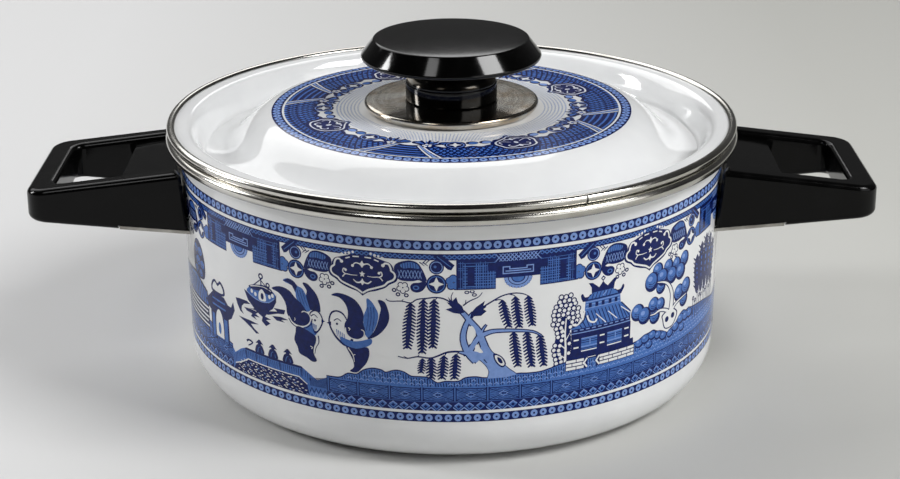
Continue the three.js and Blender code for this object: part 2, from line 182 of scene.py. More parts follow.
def surface(
    name: str,
    ramp: tuple[tuple[float, str], tuple[float, str]],
    patches: dict[str, float],
    relief: dict[str, float],
    depth: float,
    gloss: Point,
    constants: dict[str, float],
    lay: Lay | None = None,
) -> Material:
    """Build what all finishes share: a colour that varies in patches, a gloss and a fine relief.

    Args:
        name: The material's name.
        ramp: The two colours, each with the strength of the patches where it is pure.
        patches: Settings of the patches' noise.
        relief: Settings of the relief's noise.
        depth: Depth of the relief in millimetres.
        gloss: Lowest and highest roughness.
        constants: Values of the shader that are the same all over.
        lay: Which way a metal's relief runs. Its gloss then follows the relief, and else the patches.

    Returns:
        The material.
    """
    material, tree, shader = new_material(name)
    place = add_node(tree, "ShaderNodeTexCoord").outputs["Object"]
    lines = along_lay(tree, place, lay) if lay else place
    patch = add_node(tree, "ShaderNodeTexNoise", patches, {"Vector": place}).outputs["Fac"]
    grain = add_node(tree, "ShaderNodeTexNoise", relief, {"Vector": lines}).outputs["Fac"]
    tint = add_node(tree, "ShaderNodeValToRGB", links={"Fac": patch})
    for element, (position, colour) in zip(tint.color_ramp.elements, ramp):
        element.position = position
        element.color = linear(colour)
    spread = {"To Min": gloss[0], "To Max": gloss[1]}
    rough = add_node(tree, "ShaderNodeMapRange", spread, {"Value": grain if lay else patch})
    raised = {"Strength": 1.0, "Distance": depth * MM}
    bump = add_node(tree, "ShaderNodeBump", raised, {"Height": grain})
    for key, value in constants.items():
        shader.inputs[key].default_value = value
    tree.links.new(tint.outputs["Color"], shader.inputs["Base Color"])
    tree.links.new(rough.outputs["Result"], shader.inputs["Roughness"])
    tree.links.new(bump.outputs["Normal"], shader.inputs["Normal"])
    return material


@dataclass(frozen=True)
class Glaze:
    """Fired vitreous enamel, or the blue print fired into it: glassy, with a faint waviness.

    The eye sees sharp highlights that tremble a little, and a colour that clouds slightly.
    """

    name: str
    colour: str
    clouded: str
    cloud_size: float
    roughness: float
    reflection: float
    wave_size: float = 9.0
    wave_depth: float = 0.012
    ior: float = 1.52

    def material(self) -> Material:
        """Build the glaze's material."""
        return surface(
            self.name,
            ramp=((0.3, self.clouded), (0.7, self.colour)),
            patches={"Scale": per_feature(self.cloud_size), "Detail": 3.0, "Roughness": 0.6},
            relief={"Scale": per_feature(self.wave_size), "Detail": 1.0},
            depth=self.wave_depth,
            gloss=(self.roughness * 0.8, self.roughness * 1.3),
            constants={"IOR": self.ior, "Specular IOR Level": self.reflection},
        )


@dataclass(frozen=True)
class Metal:
    """Bare metal whose fine working lines run one way, with patches that are a little duller."""

    name: str
    colour: str
    dulled: str
    roughness: float
    lay: Lay
    line_size: float
    line_depth: float
    patch_size: float = 18.0

    def material(self) -> Material:
        """Build the metal's material."""
        return surface(
            self.name,
            ramp=((0.34, self.dulled), (0.6, self.colour)),
            patches={"Scale": per_feature(self.patch_size), "Detail": 4.0, "Roughness": 0.65},
            relief={"Scale": per_feature(self.line_size), "Detail": 2.0},
            depth=self.line_depth,
            gloss=(self.roughness * 0.7, self.roughness * 1.4),
            constants={"Metallic": 1.0},
            lay=self.lay,
        )


@dataclass(frozen=True)
class Moulded:
    """Compression-moulded phenolic, or pressed fibre: smooth from the mould, with a fine grain and scuffs."""

    name: str
    colour: str
    scuffed: str
    roughness: float
    grain_size: float
    grain_depth: float
    scuff_size: float = 6.0
    reflection: float = 0.12
    ior: float = 1.6

    def material(self) -> Material:
        """Build the moulding's material."""
        return surface(
            self.name,
            ramp=((0.5, self.colour), (0.8, self.scuffed)),
            patches={"Scale": per_feature(self.scuff_size), "Detail": 6.0, "Roughness": 0.7},
            relief={"Scale": per_feature(self.grain_size), "Detail": 2.0},
            depth=self.grain_depth,
            gloss=(self.roughness * 0.75, self.roughness * 1.35),
            constants={"IOR": self.ior, "Specular IOR Level": self.reflection},
        )


# White enamel fired on pressed steel: highlights are sharp and a little wavy.
ENAMEL = Glaze("white_vitreous_enamel", "#EDEEEE", "#E6E7E8", 26.0, 0.06, 0.6)
# One transfer print in three strengths of cobalt, which dulls the gloss a little.
PALE_BLUE = Glaze("pale_blue_print", "#829FD8", "#7290CA", 1.6, 0.12, 0.22)
MID_BLUE = Glaze("mid_blue_print", "#4C76BC", "#3C64AA", 1.2, 0.12, 0.22)
DARK_BLUE = Glaze("dark_blue_print", "#0B1E62", "#08164A", 1.6, 0.12, 0.22)
# Rolled strip and a spun saucer, whose lines draw highlights out round the axis. The real lines are
# too fine to show in the render, so all metals have them as coarse as they need to be.
RIM_STEEL = Metal("rolled_stainless_strip", "#D2D0CA", "#BDBAB2", 0.16, Lay.ROUND, 0.7, 0.0025)
SAUCER_STEEL = Metal("polished_stainless_pressing", "#CBC7BE", "#AC9C86", 0.15, Lay.ROUND, 0.5, 0.0015, 11.0)
# Phenolic with the mould's fine grain, and buffed on the knob, where lamps show sharply.
PHENOLIC = Moulded("black_moulded_phenolic", "#050505", "#0E0E0E", 0.13, 0.5, 0.003)
BUFFED_PHENOLIC = Moulded("buffed_black_phenolic", "#050505", "#0B0B0B", 0.09, 0.5, 0.0012, 6.0, 0.24)
# The fastenings: dull drawn strip, warm turned brass, grey plating and red pressed fibre.
BRACKET_STEEL = Metal("plain_steel_strip", "#B9B7B1", "#8E8A82", 0.36, Lay.STRAIGHT, 0.4, 0.006)
BRASS = Metal("turned_brass", "#B3904C", "#8A6C36", 0.3, Lay.GRAINY, 0.5, 0.004, 5.0)
ZINC = Metal("zinc_plated_steel", "#AEB2B3", "#8F9496", 0.34, Lay.GRAINY, 0.35, 0.005, 3.0)
FIBRE = Moulded("red_vulcanised_fibre", "#6E2A1F", "#84402F", 0.62, 0.4, 0.02, 2.0)


def arc(centre: Point, radius: float, start: float, end: float, steps: int) -> Points:
    """Points of an arc, both ends included, with the angles in degrees."""
    turn = [radians(start + (end - start) * i / steps) for i in range(steps + 1)]
    return [(centre[0] + radius * cos(t), centre[1] + radius * sin(t)) for t in turn]


def bezier(corners: Points, steps: int) -> Points:
    """Points of a Bezier curve of any degree, both ends included.

    Args:
        corners: The curve's control points.
        steps: How many pieces the curve is cut into.

    Returns:
        The points along the curve.
    """
    points = []
    for i in range(steps + 1):
        row = [Vector(c) for c in corners]
        while len(row) > 1:
            row = [a.lerp(b, i / steps) for a, b in zip(row, row[1:])]
        points.append((row[0].x, row[0].y))
    return points


def courses(path: list[Vector]) -> list[tuple[Vector, float]]:
    """Follow a line of points.

    Args:
        path: The points in order.

    Returns:
        The line's direction at each point, and the cosine of half its turn there.
    """
    steps = [(b - a).normalized() for a, b in zip(path, path[1:])]
    found = []
    for before, after in zip([steps[0], *steps], [*steps, steps[-1]]):
        along = (before + after).normalized()
        found.append((along, along.dot(before)))
    return found


def sheet_outline(middle: Points, sheet: float) -> Points:
    """Thicken the middle line of a pressed sheet to both sides.

    Args:
        middle: The middle line as (radius, height) points.
        sheet: The sheet's thickness.

    Returns:
        The closed outline of the sheet's section.
    """
    path = [Vector(point) for point in middle]
    sides: tuple[Points, Points] = ([], [])
    for here, (along, mitre) in zip(path, courses(path)):
        reach = sheet / 2 / mitre
        for side, sign in zip(sides, (-1, 1)):
            radius = 0.0 if here.x == 0 else here.x - sign * along.y * reach
            side.append((radius, here.y + sign * along.x * reach))
    return sides[0] + sides[1][::-1]


def spun(outline: Points, steps: int, gap: float = 0.0, gap_angle: float = 0.0) -> Mesh:
    """Spin a closed outline of (radius, height) points about the axis.

    Args:
        outline: The section, a loop or one with both ends on the axis.
        steps: How many steps the full turn has.
        gap: Angle in radians that is left open, with its two ends closed.
        gap_angle: Plan angle in radians of the middle of the gap.

    Returns:
        The closed, turned mesh in metres.
    """
    bm = bmesh.new()
    verts = [bm.verts.new((r * MM, 0.0, z * MM)) for r, z in outline]
    edges = [bm.edges.new(pair) for pair in zip(verts, verts[1:])]
    if outline[0][0] > 0 or outline[-1][0] > 0:
        edges.append(bm.edges.new((verts[-1], verts[0])))
    start = Matrix.Rotation(gap_angle + gap / 2, 3, "Z")
    bmesh.ops.rotate(bm, verts=verts, cent=(0, 0, 0), matrix=start)
    bmesh.ops.spin(
        bm,
        geom=verts + edges,
        cent=(0, 0, 0),
        axis=(0, 0, 1),
        angle=2 * pi - gap,
        steps=steps,
        use_merge=gap == 0,
    )
    bmesh.ops.remove_doubles(bm, verts=bm.verts[:], dist=SPUN_WELD * MM)
    if gap:
        bmesh.ops.holes_fill(bm, edges=[e for e in bm.edges if e.is_boundary])
    bmesh.ops.recalc_face_normals(bm, faces=bm.faces[:])
    return bm


def finished(name: str, bm: Mesh, materials: list[Material]) -> bpy.types.Object:
    """Make a smooth-shaded object of a mesh, with its creases kept sharp.

    Args:
        name: The object's name.
        bm: The mesh, which is freed.
        materials: The materials by face index.

    Returns:
        The object, linked to the scene.
    """
    mesh = bpy.data.meshes.new(name)
    bm.to_mesh(mesh)
    bm.free()
    for material in materials:
        mesh.materials.append(material)
    mesh.shade_smooth()
    mesh.set_sharp_from_angle(angle=SHARP_ANGLE)
    piece = bpy.data.objects.new(name, mesh)
    bpy.context.scene.collection.objects.link(piece)
    return piece


def fitted(piece: bpy.types.Object, body: Body, slot: str, *nodes: str) -> bpy.types.Object:
    """Put a piece on its body.

    Args:
        piece: The finished object.
        body: The body that it moves with.
        slot: Name of the material slot that the piece takes its finish from; not used.
        nodes: The solids that it stands for.

    Returns:
        The same object.
    """
    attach(piece, body.value)
    if nodes:
        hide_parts(*nodes)
    log.info("%s rides on %s with %d faces", piece.name, body.value, len(piece.data.polygons))
    return piece


class Ink(Enum):
    """What a drawn shape leaves on the enamel: one of three blues, or the bare white."""

    BARE = -1
    PALE = 0
    MID = 1
    DARK = 2


BARE, PALE, MID, DARK = Ink
Shapes = list[tuple[Ink, Points]]


def smooth(points: Points, closed: bool) -> Points:
    """Round a line of points off with a curve that passes through them.

    Args:
        points: The points in order.
        closed: Whether the last point joins the first.

    Returns:
        The points of the curve.
    """
    ring = points[-1:] + points + points[:2] if closed else points[:1] + points + points[-1:]
    path = [Vector(p) for p in ring]
    curve = []
    for a, b, c, d in zip(path, path[1:], path[2:], path[3:]):
        for cut in range(SMOOTH_CUTS):
            t = cut / SMOOTH_CUTS
            spot = 2 * b + (c - a) * t + (2 * a - 5 * b + 4 * c - d) * t**2 + (3 * b - a - 3 * c + d) * t**3
            curve.append((spot.x / 2, spot.y / 2))
    return curve if closed else [*curve, points[-1]]


def scaled(points: Points, centre: Point, share: float) -> Points:
    """Draw an outline in towards a centre, or out from it.

    Args:
        points: The outline.
        centre: The point that stays.
        share: How large the new outline is beside the old one.

    Returns:
        The new outline.
    """
    middle = Vector(centre)
    return [tuple(middle + (Vector(p) - middle) * share) for p in points]


@dataclass
class Pen:
    """Draws flat shapes one over the other, on a sheet whose heights are counted down from its origin."""

    shapes: Shapes
    origin: Point = (0.0, 0.0)
    unit: float = 1.0
    mirrored: bool = False

    def spot(self, x: float, y: float) -> Point:
        """A drawing point on the sheet, in millimetres."""
        across = -x if self.mirrored else x
        return self.origin[0] + across * self.unit, self.origin[1] - y * self.unit

    def area(self, ink: Ink, points: Points) -> None:
        """Fill a straight-sided outline."""
        self.shapes.append((ink, [self.spot(*p) for p in points]))

    def blob(self, ink: Ink, points: Points) -> None:
        """Fill a rounded outline."""
        self.area(ink, smooth(points, True))

    def box(self, ink: Ink, left: float, top: float, right: float, bottom: float) -> None:
        """Fill an upright rectangle."""
        self.area(ink, [(left, top), (right, top), (right, bottom), (left, bottom)])

    def dot(self, ink: Ink, x: float, y: float, radius: float, tall: float = 1.0, steps: int = 14) -> None:
        """Fill a circle, or an oval that is this many times as tall as wide."""
        turns = [2 * pi * i / steps for i in range(steps)]
        self.area(ink, [(x + radius * cos(t), y + tall * radius * sin(t)) for t in turns])

    def star(self, ink: Ink, middle: Point, reach: float, waist: float, wide: float = 1.0) -> None:
        """Fill a four-pointed star.

        Args:
            ink: The star's ink.
            middle: Its middle.
            reach: How far its points reach.
            waist: How far its inner corners stand off, across and down.
            wide: How much it is stretched across.
        """
        corners = [(0, -reach), (waist, -waist), (reach, 0), (waist, waist)]
        corners += [(0, reach), (-waist, waist), (-reach, 0), (-waist, -waist)]
        self.area(ink, [(middle[0] + wide * x, middle[1] + y) for x, y in corners])

    def rule(self, ink: Ink, points: Points, width: float, tip: float | None = None) -> None:
        """Draw a line with straight stretches, of even or tapering width.

        Args:
            ink: The line's ink.
            points: The points that it passes through.
            width: Its width at the start.
            tip: Its width at the end, if that differs.
        """
        path = [Vector(p) for p in points]
        last = len(path) - 1
        end = width if tip is None else tip
        sides: tuple[Points, Points] = ([], [])
        for i, (here, (along, mitre)) in enumerate(zip(path, courses(path))):
            half = (width + (end - width) * i / last) / 2
            half = min(half / max(mitre, LEAST_MITRE), MOST_REACH * half)
            for side, sign in zip(sides, (1, -1)):
                side.append((here.x - sign * along.y * half, here.y + sign * along.x * half))
        self.area(ink, sides[0] + sides[1][::-1])

    def line(self, ink: Ink, points: Points, width: float, tip: float | None = None) -> None:
        """Draw a line like a rule, with its corners rounded off."""
        self.rule(ink, smooth(points, False), width, tip)


def height_at(edge: Points, x: float) -> float:
    """Second coordinate of a line of points that runs from left to right, at a first coordinate."""
    ends = next((a, b) for a, b in zip(edge, edge[1:]) if b[0] >= x)
    (left, start), (right, end) = ends
    return start + (end - start) * (x - left) / (right - left)


def signed_area(points: Points) -> float:
    """Area of an outline, positive where it runs anticlockwise."""
    return sum(a[0] * b[1] - b[0] * a[1] for a, b in zip(points, points[1:] + points[:1])) / 2


@dataclass
class Sheet:
    """One repeat of the print, drawn flat."""

    width: float
    low: float
    high: float
    shapes: Shapes
    step: float = 3.2
    rows: int = 1

    def triangles(self) -> Shapes:
        """Lay the shapes over each other and keep the inked triangles that show.

        Returns:
            Each triangle's ink and its three corners, anticlockwise.
        """
        verts: list[Vector] = []
        edges: list[tuple[int, int]] = []
        faces: list[list[int]] = []
        strips = max(1, ceil(self.width / self.step))
        for i in range(strips + 1):
            x = self.width * i / strips
            edges.append((len(verts), len(verts) + 1))
            verts += [Vector((x, self.low)), Vector((x, self.high))]
        for i in range(self.rows + 1):
            y = self.low + (self.high - self.low) * i / self.rows
            edges.append((len(verts), len(verts) + 1))
            verts += [Vector((0.0, y)), Vector((self.width, y))]
        for _, outline in self.shapes:
            ring = outline if signed_area(outline) > 0 else outline[::-1]
            faces.append(list(range(len(verts), len(verts) + len(ring))))
            verts += [Vector(p) for p in ring]
        spots, _, cells, _, _, owners = delaunay_2d_cdt(verts, edges, faces, 0, DRAWN_WELD)
        kept = []
        for cell, owner in zip(cells, owners):
            corners = [(spots[i].x, spots[i].y) for i in cell]
            middle = sum((Vector(c) for c in corners), Vector((0.0, 0.0))) / len(corners)
            ink = self.shapes[max(owner)][0] if owner else BARE
            inside = 0 <= middle.x <= self.width and self.low <= middle.y <= self.high
            if inside and ink is not BARE and signed_area(corners) > LEAST_AREA:
                kept.append((ink, corners))
        return kept


@dataclass
class Film:
    """The fired print as a thin closed skin on the enamel."""

    name: str
    body: Body
    turn_length: float
    place: Callable[[float, float], tuple[Vector, Vector]]
    sink: float = 0.03
    rise: float = 0.05

    def build(self, sheets: list[tuple[Sheet, list[float]]], inks: list[Material]) -> None:
        """Wrap the sheets' repeats on the enamel.

        Args:
            sheets: Each sheet with the starts of its repeats along the turn.
            inks: The materials of the three blues.
        """
        bm = bmesh.new()
        welded: dict[tuple[int, int], bmesh.types.BMVert] = {}
        normals: list[Vector] = []
        cells = round(self.turn_length * WELD_GRID)
        for sheet, starts in sheets:
            for start, (ink, corners) in product(starts, sheet.triangles()):
                ring = []
                for x, y in corners:
                    along = (x + start) % self.turn_length
                    key = (round(along * WELD_GRID) % cells, round(y * WELD_GRID))
                    if key not in welded:
                        spot, normal = self.place(along, y)
                        welded[key] = bm.verts.new((spot - normal * self.sink) * MM)
                        normals.append(normal)
                    ring.append(welded[key])
                if len(set(ring)) == len(ring) and not bm.faces.get(ring):
                    bm.faces.new(ring).material_index = ink.value
        under = bm.faces[:]
        lifted = bmesh.ops.extrude_face_region(bm, geom=under, use_keep_orig=True)["geom"]
        bmesh.ops.reverse_faces(bm, faces=under)
        bm.verts.index_update()
        outward = {tuple(round(c, 9) for c in v.co): n for v, n in zip(bm.verts, normals)}
        facing = {i: -normal for i, normal in enumerate(normals)}
        for vert in (g for g in lifted if isinstance(g, bmesh.types.BMVert)):
            normal = outward[tuple(round(c, 9) for c in vert.co)]
            vert.co += normal * (self.sink + self.rise) * MM
            facing[vert.index] = normal
        piece = finished(self.name, bm, inks)
        ordered = [facing[i] for i in range(len(piece.data.vertices))]
        piece.data.normals_split_custom_set_from_vertices(ordered)
        fitted(piece, self.body, "white_enamel")


@dataclass
class Pot:
    """The enamelled pot and its rolled rim ring."""

    wall: float = 1.3
    mouth_radius: float = 104.6
    draft: float = 1.2
    corner: float = 16.0
    flange_height: float = 96.0
    flange_bend: float = 1.8
    ring_radius: float = 110.0
    ring_bead: float = 4.6
    ring_sheet: float = 0.5

    def wall_radius(self, height: float) -> float:
        """Outside radius of the wall at a height."""
        share = (height - self.corner) / (self.flange_height - self.flange_bend - self.corner)
        return self.mouth_radius - self.draft * (1 - share)

    def shell(self) -> Mesh:
        """Turn the pressed pot, from the middle of its floor to the edge of its flange."""
        half = self.wall / 2
        foot = self.mouth_radius - self.draft
        tip = self.ring_radius - self.ring_bead / 2
        tip += sqrt((self.ring_bead / 2 - self.ring_sheet - FIT) ** 2 - half**2)
        middle = [(0.0, half), (foot * 0.4, half), (foot * 0.7, half)]
        middle += arc((foot - self.corner, self.corner), self.corner - half, -90, 0, 28)
        bend = (self.mouth_radius - half + self.flange_bend, self.flange_height - self.flange_bend)
        low, high = Vector(middle[-1]), Vector((bend[0] - self.flange_bend, bend[1]))
        middle += [tuple(low.lerp(high, i / 8)) for i in range(1, 8)]
        middle += arc(bend, self.flange_bend, 180, 90, 12)
        middle.append((tip, self.flange_height))
        return spun(sheet_outline(middle, self.wall), BIG_STEPS)

    def build(self, enamel: Material, steel: Material) -> None:
        """Make and fit the pot's two turned pieces."""
        ring = rim_ring(self.ring_radius, self.ring_bead, self.ring_sheet, self.flange_height, self.wall)
        shell = finished("pot_enamel", self.shell(), [enamel])
        fitted(shell, Body.POT, "white_enamel", "pot_shell")
        rim = finished("pot_rim_rolled", spun(ring, BIG_STEPS), [steel])
        fitted(rim, Body.POT, "rim_steel", "pot_rim_ring")


def rim_ring(radius: float, bead: float, sheet: float, height: float, flange: float) -> Points:
    """Section of a rolled rim ring, open towards the axis where it clasps the flange.

    Args:
        radius: The ring's outside radius.
        bead: The bead's height.
        sheet: The strip's thickness.
        height: The height of the bead's middle.
        flange: The thickness of the flange that it clasps.

    Returns:
        The closed section.
    """
    centre = (radius - bead / 2, height)
    lip = flange / 2 + FIT
    outer_reach = 180 - degrees(asin(lip / (bead / 2)))
    inner_reach = 180 - degrees(asin(lip / (bead / 2 - sheet)))
    outside = arc(centre, bead / 2, -outer_reach, outer_reach, 30)
    inside = arc(centre, bead / 2 - sheet, inner_reach, -inner_reach, 20)
    return outside + inside


@dataclass
class Lid:
    """The enamelled lid, its rim ring with a butt seam, and the knob on its saucer."""

    wall: float = 1.0
    flange_height: float = 100.25
    ring_radius: float = 109.6
    ring_bead: float = 3.3
    ring_sheet: float = 0.5
    seam: float = 0.8
    seam_angle: float = -65.0
    well_radius: float = 102.5
    flange_bend: float = 3.0
    flank_width: float = 7.5
    well_depth: float = 11.0
    crown_radius: float = 66.0
    crown_rise: float = 3.5
    bore: float = 3.1

    def middle_line(self) -> Points:
        """Middle line of the pressed sheet, from the flange's edge to the bore in the crown."""
        bend = (self.well_radius, self.flange_height - self.flange_bend)
        bottom = (self.well_radius - self.flank_width, self.flange_height - self.well_depth)
        edge = (self.crown_radius, self.flange_height + self.crown_rise)
        half_rise = (bottom[0] - edge[0]) / 2
        tip = self.ring_radius - self.ring_bead / 2
        tip += sqrt((self.ring_bead / 2 - self.ring_sheet - FIT) ** 2 - (self.wall / 2) ** 2)
        turn = arc(bend, self.flange_bend, 90, 135, 10)
        shoulder = (turn[-1][0] - self.flange_bend, turn[-1][1] - self.flange_bend)
        flank = bezier([turn[-1], shoulder, (bottom[0] + self.flank_width / 4, bottom[1]), bottom], 24)
        rise = bezier([bottom, (bottom[0] - half_rise, bottom[1]), (edge[0] + half_rise, edge[1]), edge], 36)
        flat = [(self.crown_radius * share, edge[1]) for share in (0.8, 0.6, 0.4, 0.2)]
        return [(tip, self.flange_height), *turn, *flank[1:], *rise[1:], *flat, (self.bore, edge[1])]

    @cached_property
    def upper_line(self) -> Points:
        """Upper face of the pressed sheet, from the flange's edge inwards."""
        middle = self.middle_line()
        return sheet_outline(middle, self.wall)[: len(middle)]

    def shell(self) -> Mesh:
        """Turn the pressed lid."""
        return spun(sheet_outline(self.middle_line(), self.wall), BIG_STEPS)

    def ring(self) -> Mesh:
        """Turn the rim ring, with its strip's ends butted at the front right."""
        section = rim_ring(self.ring_radius, self.ring_bead, self.ring_sheet, self.flange_height, self.wall)
        return spun(section, BIG_STEPS, self.seam / self.ring_radius, radians(self.seam_angle))

    def build(self, enamel: Material, steel: Material) -> None:
        """Make and fit the lid's two turned pieces."""
        fitted(finished("lid_enamel", self.shell(), [enamel]), Body.LID, "white_enamel", "lid_shell")
        fitted(finished("lid_rim_rolled", self.ring(), [steel]), Body.LID, "rim_steel", "lid_rim_ring")


@dataclass
class Knob:
    """The mushroom knob and the polished saucer under it."""

    saucer_foot: float = 104.55
    saucer_height: float = 3.2
    saucer_sheet: float = 0.8
    saucer_radius: float = 34.0
    saucer_tuck: float = 1.8
    saucer_flat: Point = (20.0, 26.0)
    roll_width: float = 1.4
    roll_drop: float = 1.2
    dish_radius: float = 13.0
    dish_slope: float = 0.8
    bore: float = 3.1
    foot: float = 108.05
    insert_bore: float = 4.8
    insert_depth: float = 12.3
    neck_radius: float = 17.6
    neck_step: float = 0.5
    neck_lower: float = 6.4
    neck_upper: float = 1.3
    neck_edge: float = 0.4
    step_edge: float = 0.25
    cap_radius: float = 34.6
    cap_edge: float = 1.3
    cap_under: float = 8.8
    cap_band: float = 6.6
    band_lean: float = 28.0
    top_radius: float = 30.2
    top_edge: float = 1.0
    top_dome: float = 0.5

    def saucer(self) -> Mesh:
        """Turn the saucer: dished to the lid in the middle, flat under the knob, tucked in at its edge."""
        half = self.saucer_sheet / 2
        low, high = self.saucer_foot + half, self.saucer_foot + self.saucer_height - half
        edge = self.saucer_radius - half
        slope = self.dish_radius + self.dish_slope
        dish = [(self.dish_radius, low), (slope, low), (slope, high)]
        tuck = (edge - self.saucer_tuck, low - half / 2)
        roll = [(edge - self.roll_width, high), (edge, high), (edge, high - self.roll_drop), tuck]
        middle = [(self.bore, low), (self.dish_radius * 0.6, low)]
        middle += bezier(dish + [(self.dish_radius + self.saucer_height / 2 + 1, high)], 10)
        middle += [(radius, high) for radius in self.saucer_flat]
        middle += bezier(roll, 18)
        return spun(sheet_outline(middle, self.saucer_sheet), KNOB_STEPS)

    def knob(self) -> Mesh:
        """Turn the knob: a stepped neck that flares into a wide cap with a bevelled band and a flat top."""
        step = self.foot + self.neck_lower
        neck_top = step + self.neck_upper
        edge_centre = (self.cap_radius - self.cap_edge, neck_top + self.cap_under + self.cap_edge / 2)
        top = neck_top + self.cap_under + self.cap_edge + self.cap_band
        edge = arc(edge_centre, self.cap_edge, -60, self.band_lean, 14)
        waist = self.neck_radius - self.neck_step
        swell = (self.neck_radius + self.cap_edge, edge[0][1] - self.cap_edge)
        flare = bezier([(waist, neck_top), swell, edge[0]], 18)
        rim = (self.top_radius - self.top_edge, top - self.top_dome - self.top_edge)
        outline = [(0.0, self.foot + self.insert_depth), (self.insert_bore, self.foot + self.insert_depth)]
        outline += [(self.insert_bore, self.foot)]
        foot_edge = (self.neck_radius - self.neck_edge, self.foot + self.neck_edge)
        outline += arc(foot_edge, self.neck_edge, -90, 0, 5)
        outline += arc((self.neck_radius - self.step_edge, step - self.step_edge), self.step_edge, 0, 90, 5)
        outline += [(waist, step + 0.05), *flare, *edge[1:]]
        outline += arc(rim, self.top_edge, self.band_lean, 90, 10)
        shares = (0.85, 0.7, 0.55, 0.4, 0.25, 0.1, 0.0)
        outline += [(rim[0] * share, top - self.top_dome * share**2) for share in shares]
        return spun(outline, KNOB_STEPS)

    def build(self, phenolic: Material, steel: Material) -> None:
        """Make and fit the knob and its saucer."""
        fitted(finished("saucer_polished", self.saucer(), [steel]), Body.LID, "saucer_steel", "knob_saucer")
        fitted(finished("knob_moulded", self.knob(), [phenolic]), Body.LID, "black_phenolic", "knob")


